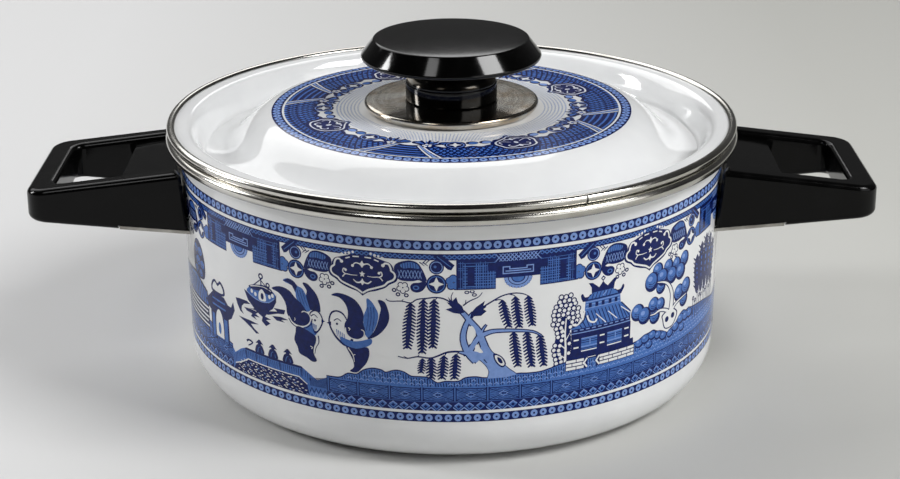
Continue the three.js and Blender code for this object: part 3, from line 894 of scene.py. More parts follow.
@dataclass
class Handle:
    """One moulded loop handle, drawn on the +X side: a U of round-edged bars and a sunk web at its root."""

    pot: Pot
    reach: float = 56.6
    width: float = 65.0
    root_top: float = 87.0
    root_height: float = 22.6
    tip_height: float = 11.9
    fall: float = 6.0
    corner: float = 8.0
    edge: float = 2.2
    web: float = 21.4
    web_sink: float = 2.2
    end_bar: float = 10.2
    side_bar: float = 8.5
    top_gap: float = 2.0
    opening_corner: float = 4.0
    root_lap: float = 10.0
    web_lap: float = 0.6
    crease: float = 40.0
    bracket_sheet: float = 1.2
    seat_start: float = 60.0
    seat_depth: float = 9.0

    def top_line(self, x: float) -> float:
        """Height of the upper face at a distance from the axis."""
        return self.root_top - self.fall / self.reach * (x - self.pot.mouth_radius)

    def under_line(self, x: float) -> float:
        """Height of the under face at a distance from the axis."""
        slope = (self.root_height - self.tip_height - self.fall) / self.reach
        return self.root_top - self.root_height + slope * (x - self.pot.mouth_radius)

    def block(self, plan: Points, low: Slope, high: Slope) -> Mesh:
        """Raise a plan outline to a block between two sloping faces.

        Args:
            plan: The outline, anticlockwise from above.
            low: Height of the under face by distance from the axis.
            high: Height of the upper face by distance from the axis.

        Returns:
            The closed block in metres, whose root end follows the pot's wall.
        """
        bm = bmesh.new()
        floor = bm.faces.new([bm.verts.new((x, y, 0.0)) for x, y in plan])
        bmesh.ops.extrude_face_region(bm, geom=[floor], use_keep_orig=True)
        roof = [v for v in bm.verts if v not in set(floor.verts)]
        for vert in bm.verts:
            x, y = vert.co.x, vert.co.y
            upper = vert in roof
            height = high(x) if upper else low(x)
            radius = self.pot.wall_radius(height) + (self.top_gap if upper else FIT)
            root = sqrt(radius**2 - y**2)
            vert.co = Vector((root if x < self.pot.mouth_radius else x, y, height)) * MM
        bmesh.ops.recalc_face_normals(bm, faces=bm.faces[:])
        return bm

    def loop(self) -> Mesh:
        """The U of bars with its edges rounded."""
        half, tip = self.width / 2, self.pot.mouth_radius + self.reach
        inner_half, inner_tip = half - self.side_bar, tip - self.end_bar
        start = self.pot.mouth_radius - self.root_lap
        turn, hole = self.corner, self.opening_corner
        plan = [(start, inner_half), *arc((inner_tip - hole, inner_half - hole), hole, 90, 0, 10)]
        plan += [*arc((inner_tip - hole, hole - inner_half), hole, 0, -90, 10), (start, -inner_half)]
        plan += [(start, -half), *arc((tip - turn, turn - half), turn, -90, 0, 14)]
        plan += [*arc((tip - turn, half - turn), turn, 0, 90, 14), (start, half)]
        bm = self.block(plan, self.under_line, self.top_line)
        sharp = [e for e in bm.edges if e.calc_face_angle(0) > radians(self.crease)]
        bmesh.ops.bevel(
            bm,
            geom=sharp,
            offset=self.edge * MM,
            offset_type="OFFSET",
            affect="EDGES",
            segments=6,
            profile=0.5,
            material=-1,
            clamp_overlap=True,
        )
        return bm

    def web_block(self) -> Mesh:
        """The sunk web between the root and the opening, with hollow corners where it meets the bars."""
        half = self.width / 2 - self.side_bar
        end, hole = self.pot.mouth_radius + self.web, self.opening_corner
        start = self.pot.mouth_radius - self.root_lap
        lap = self.web_lap + self.edge
        plan = [(start, -half - lap), (end + hole, -half - lap), (end + hole, -half)]
        plan += arc((end + hole, hole - half), hole, 270, 180, 8)[1:]
        plan += arc((end + hole, half - hole), hole, 180, 90, 8)
        plan += [(end + hole, half + lap), (start, half + lap)]
        steps = [(start, half + lap - (2 * half + 2 * lap) * i / 16) for i in range(1, 16)]
        return self.block(plan + steps, self.under_line, lambda x: self.top_line(x) - self.web_sink)

    def seat(self) -> Mesh:
        """The space under the root that the bracket's bottom plate fills."""
        end = self.pot.mouth_radius + self.web + FIT
        start, half = self.seat_start, self.width
        bm = bmesh.new()
        corners = []
        for x, y in ((start, -half), (end, -half), (end, half), (start, half)):
            corners.append(bm.verts.new((x * MM, y * MM, (self.under_line(x) - self.seat_depth) * MM)))
        floor = bm.faces.new(corners)
        raised = bmesh.ops.extrude_face_region(bm, geom=[floor], use_keep_orig=True)["geom"]
        tops = [g for g in raised if isinstance(g, bmesh.types.BMVert)]
        bmesh.ops.translate(bm, verts=tops, vec=(0, 0, (self.seat_depth + self.bracket_sheet + FIT) * MM))
        bmesh.ops.recalc_face_normals(bm, faces=bm.faces[:])
        return bm

    def build(self, side: str, turn: float, phenolic: Material) -> None:
        """Join the bars and the web, cut the bracket's seat and fit the handle.

        Args:
            side: "right" or "left".
            turn: Turn about the axis in radians that brings the handle to its side.
            phenolic: The handle's material.
        """
        body = finished(f"handle_{side}_moulded", self.loop(), [phenolic])
        tools = [finished("handle_web", self.web_block(), [phenolic])]
        tools.append(finished("plate_seat", self.seat(), [phenolic]))
        for tool, operation in zip(tools, ("UNION", "DIFFERENCE")):
            cut = body.modifiers.new(operation.lower(), "BOOLEAN")
            cut.operation = operation
            cut.solver = "EXACT"
            cut.object = tool
        bpy.context.view_layer.update()
        baked = bpy.data.meshes.new_from_object(body.evaluated_get(bpy.context.evaluated_depsgraph_get()))
        body.modifiers.clear()
        body.data = baked
        for tool in tools:
            bpy.data.objects.remove(tool)
        baked.transform(Matrix.Rotation(turn, 4, "Z"))
        baked.shade_smooth()
        baked.set_sharp_from_angle(angle=SHARP_ANGLE)
        weighted = body.modifiers.new("flat_faces_stay_flat", "WEIGHTED_NORMAL")
        weighted.keep_sharp = True
        fitted(body, Body.POT, "black_phenolic", f"handle_{side}")


class BorderPen(Pen):
    """Draws one side of the border, with the middle of its cartouche at 0."""

    def side(self, end: float) -> None:
        """Draw what stands between a cartouche and the middle of the next wheel panel.

        Args:
            end: Where the wheel panel has its middle.
        """
        self.box(DARK, 0, 103, end, 172)
        teeth = 32
        zigzag = [(end * i / teeth, 118 if i % 2 else 158) for i in range(teeth + 1)]
        self.rule(MID, zigzag, 13)
        self.rule(MID, [(x, 276 - y) for x, y in zigzag], 9)
        for x, y, radius in ((98, 138, 15), (140, 152, 17), (180, 158, 14), (222, 176, 18), (290, 186, 13)):
            self.dot(BARE, x, y, radius, steps=8)
        wing = [(345, 262), (372, 222), (440, 192), (520, 182), (590, 205), (632, 262), (668, 340)]
        wing += [(684, 402), (640, 412), (600, 396), (540, 410), (450, 412), (388, 395), (350, 330)]
        self.blob(DARK, wing)
        self.blob(MID, [(408, 236), (450, 212), (520, 200), (588, 222), (606, 270), (520, 262), (440, 272)])
        for i in range(6):
            self.rule(DARK, [(430 + 28 * i, 206), (436 + 28 * i, 270)], 7)
        for i in range(7):
            self.rule(PALE, [(385 + 36 * i, 292), (415 + 36 * i, 380)], 6)
            self.rule(PALE, [(415 + 36 * i, 292), (385 + 36 * i, 380)], 6)
        for x in (610, 646):
            self.line(DARK, [(x, 196), (x + 52, 236)], 13, 5)
            self.line(DARK, [(x + 70, 168), (x + 26, 214)], 12, 5)
        bud = [(512, 470), (545, 432), (610, 424), (668, 400), (680, 452), (640, 512), (584, 536), (530, 520)]
        self.blob(DARK, bud)
        self.dot(MID, 572, 482, 34, 0.75)
        self.dot(DARK, 572, 482, 20, 0.75)
        self.small_flower(434, 488)
        for ink, radius in ((DARK, 79), (PALE, 66), (DARK, 57)):
            self.dot(ink, 786, 250, radius)
        self.dot(MID, 772, 244, 16, steps=8)
        for ink, radius in ((DARK, 106), (MID, 90), (DARK, 80)):
            self.dot(ink, 784, 437, radius, steps=20)
        self.star(BARE, (784, 437), 80, 24)
        self.area(DARK, [(738, 112), (828, 104), (972, 226), (938, 282), (902, 272)])
        self.rule(MID, [(792, 130), (934, 246)], 9)
        for x, y in ((922, 400), (958, 372), (1000, 386), (936, 456), (986, 458)):
            self.dot(DARK, x, y, 46, steps=10)
        for x, y in ((922, 400), (958, 374), (998, 388), (938, 452), (984, 454)):
            self.dot(MID, x, y, 37, steps=10)
        self.dot(BARE, 1010, 440, 12, steps=8)
        self.box(DARK, 990, 165, 1400, 502)
        for y in (236, 318, 352, 398, 430, 462):
            self.box(MID, 1060, y, 1400, y + 10)
        for y in (204, 262, 284, 376, 480):
            self.box(MID, 1010, y, 1400, y + 5)
        for x in (1076, 1192, 1216, 1262, 1312, 1340, 1366):
            self.box(MID, x, 214, x + 10, 488)
        for x in (1030, 1054, 1238, 1288, 1386):
            self.box(MID, x, 190, x + 5, 496)
        self.box(DARK, 1106, 262, 1178, 446)
        self.box(DARK, 1316, 214, 1400, 300)
        self.box(DARK, 1400, 103, end, 216)
        for i in range(6):
            left = 1396 + 40 * i
            self.rule(PALE, [(left, 118), (left + 72, 200)], 9)
            self.rule(PALE, [(left + 72, 118), (left, 200)], 9)
        self.area(DARK, [(1400, 212), (end, 212), (end, 384), (1400, 384)])
        notch = [(end, 290), (1545, 290), (1545, 264), (1476, 264), (1476, 338), (end, 338)]
        self.rule(PALE, notch, 12)
        self.box(PALE, 1500, 306, end, 318)
        turns = [i * pi / 24 for i in range(13)]
        for radius, ink in ((150, DARK), (138, PALE), (112, DARK), (102, PALE), (76, DARK), (64, MID)):
            bow = [(end - radius * sin(t), 384 + 0.82 * radius * cos(t)) for t in turns]
            self.area(ink, [*bow, (end, 384)])
        for i in range(6):
            turn = pi / 24 * (2 * i + 1)
            self.dot(PALE, end - 142 * sin(turn), 384 + 116 * cos(turn), 13, steps=8)

    def small_flower(self, x: float, y: float) -> None:
        """Draw a five-petalled flower with three outlined leaves."""
        turns = [0.3 + 2 * pi * i / 5 for i in range(5)]
        petals = [(x + 38 * cos(t), y + 38 * sin(t)) for t in turns]
        for left, top in petals:
            self.dot(DARK, left, top, 33, steps=10)
        for left, top in petals:
            self.dot(BARE, left, top, 23, steps=10)
        self.dot(BARE, x, y, 24, steps=10)
        self.dot(DARK, x, y, 9, steps=6)
        for left, top in ((x - 92, y + 32), (x - 52, y + 78), (x + 36, y + 84)):
            self.dot(DARK, left, top, 26, 0.9, steps=10)
            self.dot(BARE, left, top, 13, 0.8, steps=8)

    def cartouche(self) -> None:
        """Draw half of a cartouche: dark, with a white line along its edge and white scrolls."""
        edge = [(0, 166), (110, 170), (190, 188), (244, 206), (304, 226), (338, 276), (344, 306), (378, 346)]
        edge += [(384, 386), (358, 432), (292, 466), (246, 506), (150, 546), (60, 572), (0, 616)]
        self.area(DARK, [(0, 166), *smooth(edge, False)[1:-1], (0, 616)])
        rim = [(226, 262), (250, 232), (290, 240), (310, 285), (314, 310), (346, 336), (353, 376)]
        rim += [(330, 412), (275, 440), (235, 480), (135, 518), (60, 546), (0, 586)]
        self.line(BARE, rim, 21)
        self.dot(BARE, 228, 256, 20, steps=10)
        self.rule(BARE, [(30, 182), (102, 186)], 15)
        self.rule(BARE, [(132, 198), (182, 216)], 15)
        self.blob(BARE, [(0, 226), (16, 250), (34, 264), (16, 280), (0, 300)])
        self.line(BARE, [(16, 264), (66, 254), (96, 276), (112, 300)], 14, 9)
        self.dot(BARE, 104, 290, 17, steps=9)
        self.blob(BARE, [(0, 336), (10, 358), (32, 362), (16, 378), (20, 400), (0, 390)])
        self.line(BARE, [(54, 392), (120, 396), (186, 392), (222, 430)], 7, 14)
        self.line(BARE, [(186, 392), (216, 370), (208, 334), (180, 340)], 13)
        self.dot(BARE, 184, 346, 16, steps=9)
        self.blob(BARE, [(0, 424), (12, 444), (28, 462), (14, 478), (0, 496)])
        self.line(BARE, [(16, 466), (62, 472), (100, 442)], 17, 13)


class ScenePen(Pen):
    """Draws the motifs of the willow scene, each at its place in the pen's view."""

    def scallops(self, edge: Points) -> None:
        """Draw rows of small pale arcs on a hill.

        Args:
            edge: The hill's upper edge.
        """
        pitch, half = 2.3, 0.85
        for row in range(4):
            y = -33.5 - 1.5 * row
            for i in range(1, int((edge[-1][0] - edge[0][0]) / pitch) - 1):
                x = edge[0][0] + pitch * (i + 0.5 * (row % 2))
                if max(height_at(edge, x - half), height_at(edge, x + half)) + 1.1 < y:
                    self.rule(PALE, [(x - half, y + 0.4), (x, y - 0.25), (x + half, y + 0.4)], 0.3)

    def frond(self, top: Point, bottom: Point, width: float, teeth: int) -> None:
        """Draw one hanging willow frond: a dark spine with feathered edges.

        Args:
            top: Where it hangs from.
            bottom: Its tip.
            width: Its full width.
            teeth: Leaves on each side.
        """
        start, way = Vector(top), Vector(bottom) - Vector(top)
        drop = way.length / teeth
        self.rule(DARK, [top, (start.x + 0.1 * way.x, start.y + 0.04 * way.y)], 8)
        core = [(0.0, 0.07), (0.15, 0.13), (0.5, 0.2), (0.85, 0.15), (1.0, 0.05)]
        right = [((start + way * s).x + w * width, (start + way * s).y) for s, w in core]
        left = [((start + way * s).x - w * width, (start + way * s).y) for s, w in core]
        self.blob(DARK, right + left[::-1])
        for i in range(teeth):
            share = (i + 0.3) / teeth
            swell = 0.5 + 0.5 * sin(pi * min(1.0, 0.1 + 0.85 * share))
            here = start + way * share
            for sign in (-1, 1):
                tip = (here.x + sign * swell * width / 2, here.y + 0.95 * drop)
                self.rule(DARK, [(here.x, here.y), tip], drop * 0.8, drop * 0.4)

    def bridge(self) -> None:
        """Draw the bridge with its three hatted walkers, and the rippled water under it."""
        bank = [(-149.5, 900), (-115, 936), (-20, 872), (60, 838), (715, 838)]
        bank += [(880, 938), (973, 893), (973, 1099.2), (-149.5, 1099.2)]
        self.area(MID, bank)
        for x in (50, 190, 330, 480, 720):
            self.rule(DARK, [(x, 842), (x + 4, 936)], 9)
        for i in range(40):
            x = -130 + 24 * i
            roof = 866 + max(0.0, 0.62 * (20 - x), 0.6 * (x - 745))
            self.rule(DARK, [(x, roof), (x + 3, roof + 58 + 16 * sin(1.7 * i))], 8, 4)
        self.area(DARK, [(60, 838), (715, 838), (745, 858), (30, 858)])
        for i in range(16):
            x = 800 + 11 * i
            self.rule(DARK, [(x, 930 - 2 * i), (x + 12, 1000)], 6)
        for i in range(4):
            left = 800 + 44 * i
            self.rule(PALE, [(left, 1096), (left + 22, 1052), (left + 44, 1096)], 9)
            self.rule(DARK, [(left, 1060), (left + 22, 1018), (left + 44, 1060)], 9)
        water = [(-149.5, 1099.2), (-100, 1030), (-5, 996), (76, 944), (690, 944), (776, 998), (796, 1099.2)]
        self.area(DARK, water)
        self.rule(BARE, [(-120, 1040), (-5, 992), (76, 943), (690, 943), (776, 996)], 11)
        for row in range(6):
            for i in range(19):
                x = -80 + 46 * i + 22 * (row % 2) + 11 * sin(3.7 * i + row)
                y = 968 + 23 * row + 6 * sin(1.9 * i + 2.3 * row)
                if -90 + 14 * (5 - row) < x < 690 + 18 * row:
                    lean = 6 * sin(5.1 * i + 1.3 * row)
                    fleck = [(x - 15, y + lean), (x - 2, y - 7), (x + 17, y - lean), (x + 3, y + 6)]
                    self.area(BARE if (i + 2 * row) % 4 else PALE, fleck)
        for x in (240, 405, 576):
            cloak = [(x - 52, 840), (x - 50, 792), (x - 24, 760), (x + 24, 760), (x + 50, 792), (x + 52, 840)]
            self.blob(DARK, cloak)
            hat = [(x - 50, 752), (x - 8, 712), (x + 8, 712), (x + 50, 752)]
            hat += [(x + 20, 748), (x + 16, 768), (x - 16, 768), (x - 20, 748)]
            self.area(DARK, hat)
            self.line(MID, [(x - 26, 836), (x - 14, 792), (x + 6, 780)], 9, 5)
            self.line(MID, [(x + 30, 832), (x + 22, 798)], 8, 5)
        self.line(DARK, [(70, 770), (100, 752), (150, 762), (120, 790), (90, 806)], 20, 10)

    def boat(self) -> None:
        """Draw the house boat and its broken reflection."""
        waves = [
            [(-60, 396), (0, 388), (100, 384), (150, 402), (60, 420),
             (26, 452), (18, 486), (44, 524), (0, 506), (-40, 450)],
            [(180, 428), (366, 428), (330, 468), (404, 480), (340, 498),
             (392, 520), (338, 556), (288, 520), (300, 480), (230, 450)],
            [(440, 360), (572, 350), (556, 392), (486, 402), (370, 442), (118, 442), (300, 424), (480, 384)],
            [(60, 452), (150, 446), (250, 452), (210, 476), (262, 496),
             (190, 502), (226, 528), (150, 512), (166, 484), (96, 476)],
            [(420, 440), (520, 424), (600, 436), (520, 452), (560, 468), (470, 470)],
            [(-30, 560), (130, 558), (244, 566), (140, 588), (180, 620),
             (244, 652), (206, 662), (146, 626), (60, 590)],
        ]
        for wave in waves:
            self.area(DARK, wave)
        hull = [(72, 280), (130, 300), (200, 328), (300, 344), (390, 328), (450, 282)]
        hull += [(476, 232), (472, 302), (430, 372), (346, 432), (206, 432), (118, 366)]
        self.area(DARK, hull)
        cabin = [(108, 284), (150, 236), (220, 214), (400, 202), (466, 240)]
        cabin += [(448, 280), (386, 322), (300, 336), (200, 320)]
        self.blob(MID, cabin)
        awning = [(136, 234), (190, 206), (260, 190), (330, 178), (410, 192)]
        awning += [(442, 232), (380, 252), (300, 240), (210, 250)]
        self.blob(DARK, awning)
        self.line(PALE, [(120, 292), (200, 324), (300, 338), (390, 320), (446, 280)], 10)
        self.blob(BARE, [(262, 322), (266, 258), (306, 220), (346, 258), (352, 318), (306, 330)])
        self.dot(DARK, 307, 286, 18, 1.7, steps=10)
        for x, y in ((222, 286), (176, 268), (396, 270), (432, 250)):
            self.dot(BARE, x, y, 17, 1.2, steps=10)
        self.line(BARE, [(160, 226), (250, 204), (340, 196), (420, 214)], 10, 6)
        for x, y, radius in ((300, 102, 29), (382, 166, 24)):
            self.rule(DARK, [(x, y + 20), (x, 196)], 11)
            self.dot(DARK, x, y, radius, steps=12)
            self.dot(BARE, x, y, radius * 0.52, steps=10)
        self.rule(DARK, [(300, 130), (204, 206)], 10)
        self.rule(DARK, [(300, 140), (392, 206)], 8)

    def left_dove(self) -> None:
        """Draw the dove that flies to the right."""
        far_wing = [(560, 78), (612, 46), (672, 58), (712, 94), (764, 112), (802, 170), (832, 240)]
        far_wing += [(840, 292), (800, 312), (748, 262), (698, 212), (690, 150), (658, 104)]
        self.blob(MID, far_wing)
        far_tip = [(560, 78), (612, 46), (672, 58), (712, 94), (700, 128), (690, 160), (658, 104), (610, 84)]
        self.area(DARK, far_tip)
        for x in (722, 750, 778):
            self.line(DARK, [(x - 14, 128), (x + 6, 200), (x + 30, 262)], 6, 4)
        raised_wing = [(768, 58), (812, 54), (852, 84), (902, 136), (928, 200), (938, 262)]
        raised_wing += [(930, 298), (880, 286), (840, 290), (816, 230), (800, 168), (808, 118)]
        self.blob(DARK, raised_wing)
        breast = [(800, 430), (836, 380), (880, 378), (930, 400)]
        breast += [(906, 470), (868, 524), (800, 500), (760, 470)]
        self.blob(MID, breast)
        head = [(824, 340), (846, 300), (892, 282), (936, 306), (962, 368)]
        head += [(942, 430), (908, 482), (872, 500), (840, 420)]
        self.blob(DARK, head)
        cheek = [(834, 342), (852, 310), (892, 294), (930, 316), (950, 368)]
        cheek += [(930, 424), (898, 472), (866, 470), (846, 410)]
        self.blob(BARE, cheek)
        for i in range(5):
            self.rule(MID, [(838 + 13 * i, 404 + 4 * i), (848 + 10 * i, 486 - 6 * i)], 7, 4)
        self.line(DARK, [(840, 348), (872, 326), (906, 350)], 9, 6)
        self.dot(DARK, 880, 378, 11, steps=8)
        self.area(DARK, [(944, 356), (978, 372), (944, 388)])
        near_wing = [(426, 178), (520, 140), (620, 154), (682, 208), (748, 250), (792, 302)]
        near_wing += [(830, 360), (820, 412), (788, 446), (740, 462), (680, 456), (620, 420)]
        near_wing += [(590, 370), (586, 310), (560, 252), (506, 202)]
        self.blob(DARK, near_wing)
        curl = [(608, 394), (640, 440), (700, 463), (770, 456), (820, 420)]
        curl += [(836, 370), (816, 330), (772, 316), (746, 332)]
        self.line(BARE, curl, 12, 9)
        self.line(DARK, [(606, 412), (640, 456), (700, 480), (776, 470), (836, 426), (852, 370)], 9)
        self.line(BARE, [(668, 396), (676, 412), (664, 424)], 10, 6)
        tail = [(688, 472), (760, 474), (860, 512), (884, 546), (872, 604), (852, 682), (884, 752)]
        tail += [(840, 770), (780, 742), (708, 718), (690, 662), (658, 602), (674, 530)]
        self.blob(DARK, tail)
        self.line(BARE, [(892, 520), (896, 572), (866, 622), (856, 684)], 12, 7)
        self.line(DARK, [(906, 516), (910, 578), (880, 632), (866, 690)], 10, 5)
        self.line(BARE, [(822, 628), (844, 636), (834, 652)], 10, 6)

    def right_dove(self) -> None:
        """Draw the dove that flies to the left."""
        far_wing = [(1466, 112), (1522, 122), (1552, 190), (1562, 262), (1542, 332), (1492, 402), (1430, 452)]
        far_wing += [(1372, 474), (1376, 446), (1420, 408), (1456, 330), (1476, 250), (1490, 180)]
        self.blob(DARK, far_wing)
        raised_wing = [(1368, 106), (1410, 130), (1442, 180), (1466, 240), (1452, 332), (1410, 420)]
        raised_wing += [(1368, 462), (1344, 420), (1334, 340), (1340, 262), (1366, 190)]
        self.blob(MID, raised_wing)
        for x in (1366, 1392, 1418):
            self.line(DARK, [(x + 10, 180), (x + 12, 280), (x - 8, 400)], 6, 4)
        head = [(1178, 300), (1112, 250), (1044, 268), (1012, 340), (1018, 404)]
        head += [(1050, 470), (1094, 524), (1170, 570), (1240, 500)]
        self.blob(DARK, head)
        cheek = [(1172, 312), (1110, 264), (1052, 282), (1026, 340), (1032, 400)]
        cheek += [(1062, 458), (1104, 508), (1166, 540), (1220, 480)]
        self.blob(BARE, cheek)
        for i in range(5):
            self.rule(MID, [(1086 + 17 * i, 424 + 8 * i), (1092 + 18 * i, 486 + 9 * i)], 7, 4)
        self.line(DARK, [(1064, 348), (1098, 326), (1132, 346)], 9, 6)
        self.dot(DARK, 1092, 374, 11, steps=8)
        self.area(DARK, [(1036, 360), (994, 378), (1036, 396)])
        breast = [(1120, 486), (1170, 500), (1240, 512), (1320, 496), (1396, 470)]
        breast += [(1404, 512), (1350, 552), (1260, 578), (1180, 562), (1124, 524)]
        self.blob(MID, breast)
        near_wing = [(1046, 118), (1100, 90), (1180, 96), (1262, 130), (1312, 190), (1338, 262)]
        near_wing += [(1332, 330), (1348, 400), (1342, 452), (1300, 492), (1240, 496), (1190, 466)]
        near_wing += [(1164, 420), (1164, 360), (1190, 310), (1196, 240), (1170, 172), (1118, 128)]
        self.blob(DARK, near_wing)
        curl = [(1168, 396), (1178, 450), (1220, 486), (1282, 492), (1332, 460), (1338, 412), (1312, 396)]
        self.line(BARE, curl, 12, 9)
        self.line(BARE, [(1196, 392), (1210, 404), (1200, 420)], 10, 6)
        tail = [(1170, 564), (1260, 578), (1362, 552), (1380, 612), (1356, 692), (1310, 752)]
        tail += [(1260, 798), (1198, 792), (1236, 752), (1230, 690), (1196, 622)]
        self.blob(DARK, tail)
        self.line(BARE, [(1188, 578), (1232, 642), (1242, 704)], 12, 7)
        self.rule(BARE, [(1252, 632), (1232, 642)], 9, 6)

    def willow(self) -> None:
        """Draw the willow: an outlined trunk of crossed limbs, dark tufts, and hanging fronds."""
        fronds = [((196, 118), (160, 530), 112, 14), ((302, 84), (286, 566), 106, 16)]
        fronds += [((392, 80), (376, 514), 108, 14), ((958, 98), (1020, 346), 92, 9)]
        fronds += [((1070, 76), (1108, 356), 98, 10), ((1182, 80), (1222, 352), 100, 10)]
        fronds += [((1058, 396), (1100, 712), 100, 11), ((1172, 402), (1222, 728), 100, 11)]
        fronds += [((1290, 436), (1330, 734), 98, 10), ((290, 618), (274, 750), 74, 6)]
        fronds += [((364, 606), (362, 800), 96, 7), ((470, 588), (450, 800), 98, 8)]
        fronds += [((572, 574), (556, 800), 100, 8)]
        for frond in fronds:
            self.frond(*frond)
        high_bough = [(540, 110), (470, 70), (400, 60), (330, 70), (250, 82)]
        high_bough += [(196, 116), (120, 104), (20, 112), (-14, 94)]
        self.line(DARK, high_bough, 13, 8)
        self.rule(DARK, [(120, 104), (136, 84)], 8, 4)
        self.rule(DARK, [(330, 70), (302, 90)], 9, 6)
        self.rule(DARK, [(420, 62), (392, 88)], 9, 6)
        self.line(DARK, [(800, 150), (880, 102), (960, 60), (1050, 44), (1130, 54), (1190, 84)], 14, 8)
        self.line(DARK, [(900, 98), (940, 92), (962, 106)], 9, 6)
        self.line(DARK, [(1020, 50), (1060, 64), (1074, 84)], 9, 6)
        low_bough = [(650, 590), (600, 552), (500, 556), (420, 590)]
        low_bough += [(350, 612), (250, 602), (160, 622), (80, 608)]
        self.line(DARK, low_bough, 20, 8)
        self.rule(DARK, [(250, 604), (262, 580)], 8, 4)
        self.rule(DARK, [(160, 620), (128, 604)], 8, 4)
        self.rule(DARK, [(496, 556), (474, 592)], 9, 6)
        self.rule(DARK, [(600, 556), (574, 580)], 9, 6)
        limbs = (
            ([(740, 640), (672, 560), (632, 440), (648, 330), (690, 240), (720, 200)], 66, 30),
            ([(860, 640), (800, 480), (762, 372), (700, 288), (640, 210), (600, 170)], 70, 34),
            ([(690, 540), (760, 430), (840, 386), (920, 374), (1080, 384), (1230, 410), (1310, 462)], 54, 9),
            ([(780, 400), (800, 350), (828, 312)], 28, 12),
            ([(760, 640), (690, 580), (600, 556)], 64, 18),
        )
        base = [(838, 806), (852, 744), (828, 690), (784, 640), (734, 606), (690, 582)]
        base += [(690, 540), (760, 560), (800, 470), (836, 500), (872, 560), (912, 600)]
        base += [(962, 670), (1012, 722), (1090, 786), (1000, 806)]
        for grow, ink in ((11, DARK), (-9, PALE)):
            for path, width, tip in limbs:
                self.line(ink, path, width + grow, max(tip + grow, 5 if ink is DARK else 1))
            if ink is DARK:
                self.line(ink, base[:6], 13)
                self.line(ink, base[8:15], 13)
            self.area(PALE, base)
        self.blob(BARE, [(748, 486), (772, 520), (800, 562), (766, 566), (730, 522)])
        self.blob(BARE, [(700, 316), (730, 350), (738, 400), (716, 446), (690, 486), (672, 440), (668, 370)])
        self.blob(DARK, [(892, 576), (962, 614), (996, 680), (966, 712), (920, 680), (890, 624)])
        self.blob(BARE, [(906, 594), (956, 622), (984, 680), (962, 698), (926, 668), (902, 624)])
        self.blob(DARK, [(922, 614), (952, 632), (968, 670), (946, 672), (926, 646)])
        self.line(DARK, [(806, 628), (834, 662)], 11, 5)
        left_tuft = [(506, 52), (540, 96), (576, 56), (590, 106), (626, 140), (642, 196)]
        left_tuft += [(600, 206), (550, 198), (486, 166), (540, 150), (498, 104), (524, 104)]
        self.area(DARK, left_tuft)
        right_tuft = [(814, 98), (802, 138), (828, 150), (802, 172), (828, 190)]
        right_tuft += [(782, 230), (730, 230), (688, 254), (700, 200), (740, 150)]
        self.area(DARK, right_tuft)
        self.line(DARK, [(540, 100), (534, 52), (550, 12)], 10, 5)
        self.line(DARK, [(632, 134), (690, 92), (760, 60), (792, 20)], 12, 6)
        self.rule(DARK, [(652, 118), (656, 84)], 8, 5)
        for x, y in ((664, 16), (708, 10), (726, 40)):
            self.dot(DARK, x, y, 22, 0.7, steps=10)
            self.dot(BARE, x, y, 12, 0.6, steps=8)

    def round_leaf_tree(self) -> None:
        """Draw the tree whose round white leaves stand on dark, with a white trunk."""
        leaves = []
        for row in range(17):
            y = 132 + 40 * row
            half = 118 - 0.16 * (y - 560)
            if y < 560:
                half = 8 + 122 * sin(pi * min(1.0, (y - 100) / 480) ** 0.8) ** 0.7
            count = max(1, round(2 * half / 44))
            lean = 1522 - 0.05 * max(0, y - 300)
            for i in range(count):
                x = lean + (i - (count - 1) / 2) * 44 + 9 * (row % 2)
                leaves.append((x, y + 5 * sin(2.3 * i + row)))
        shade = [(1500, 330), (1560, 360), (1580, 560), (1560, 760), (1440, 790), (1410, 600), (1450, 420)]
        self.area(DARK, shade)
        for x, y in leaves:
            self.dot(DARK, x, y, 27, steps=10)
        for x, y in leaves:
            if not (abs(x - 1526) < 26 and y > 330):
                self.dot(BARE, x, y, 17, steps=9)
        self.line(BARE, [(1528, 330), (1520, 480), (1528, 600), (1524, 740)], 11, 24)
        twigs = [[(1522, 470), (1478, 392)], [(1524, 540), (1566, 470)]]
        twigs += [[(1524, 610), (1470, 560)], [(1526, 700), (1446, 640)]]
        for twig in twigs:
            self.rule(BARE, twig, 12, 6)

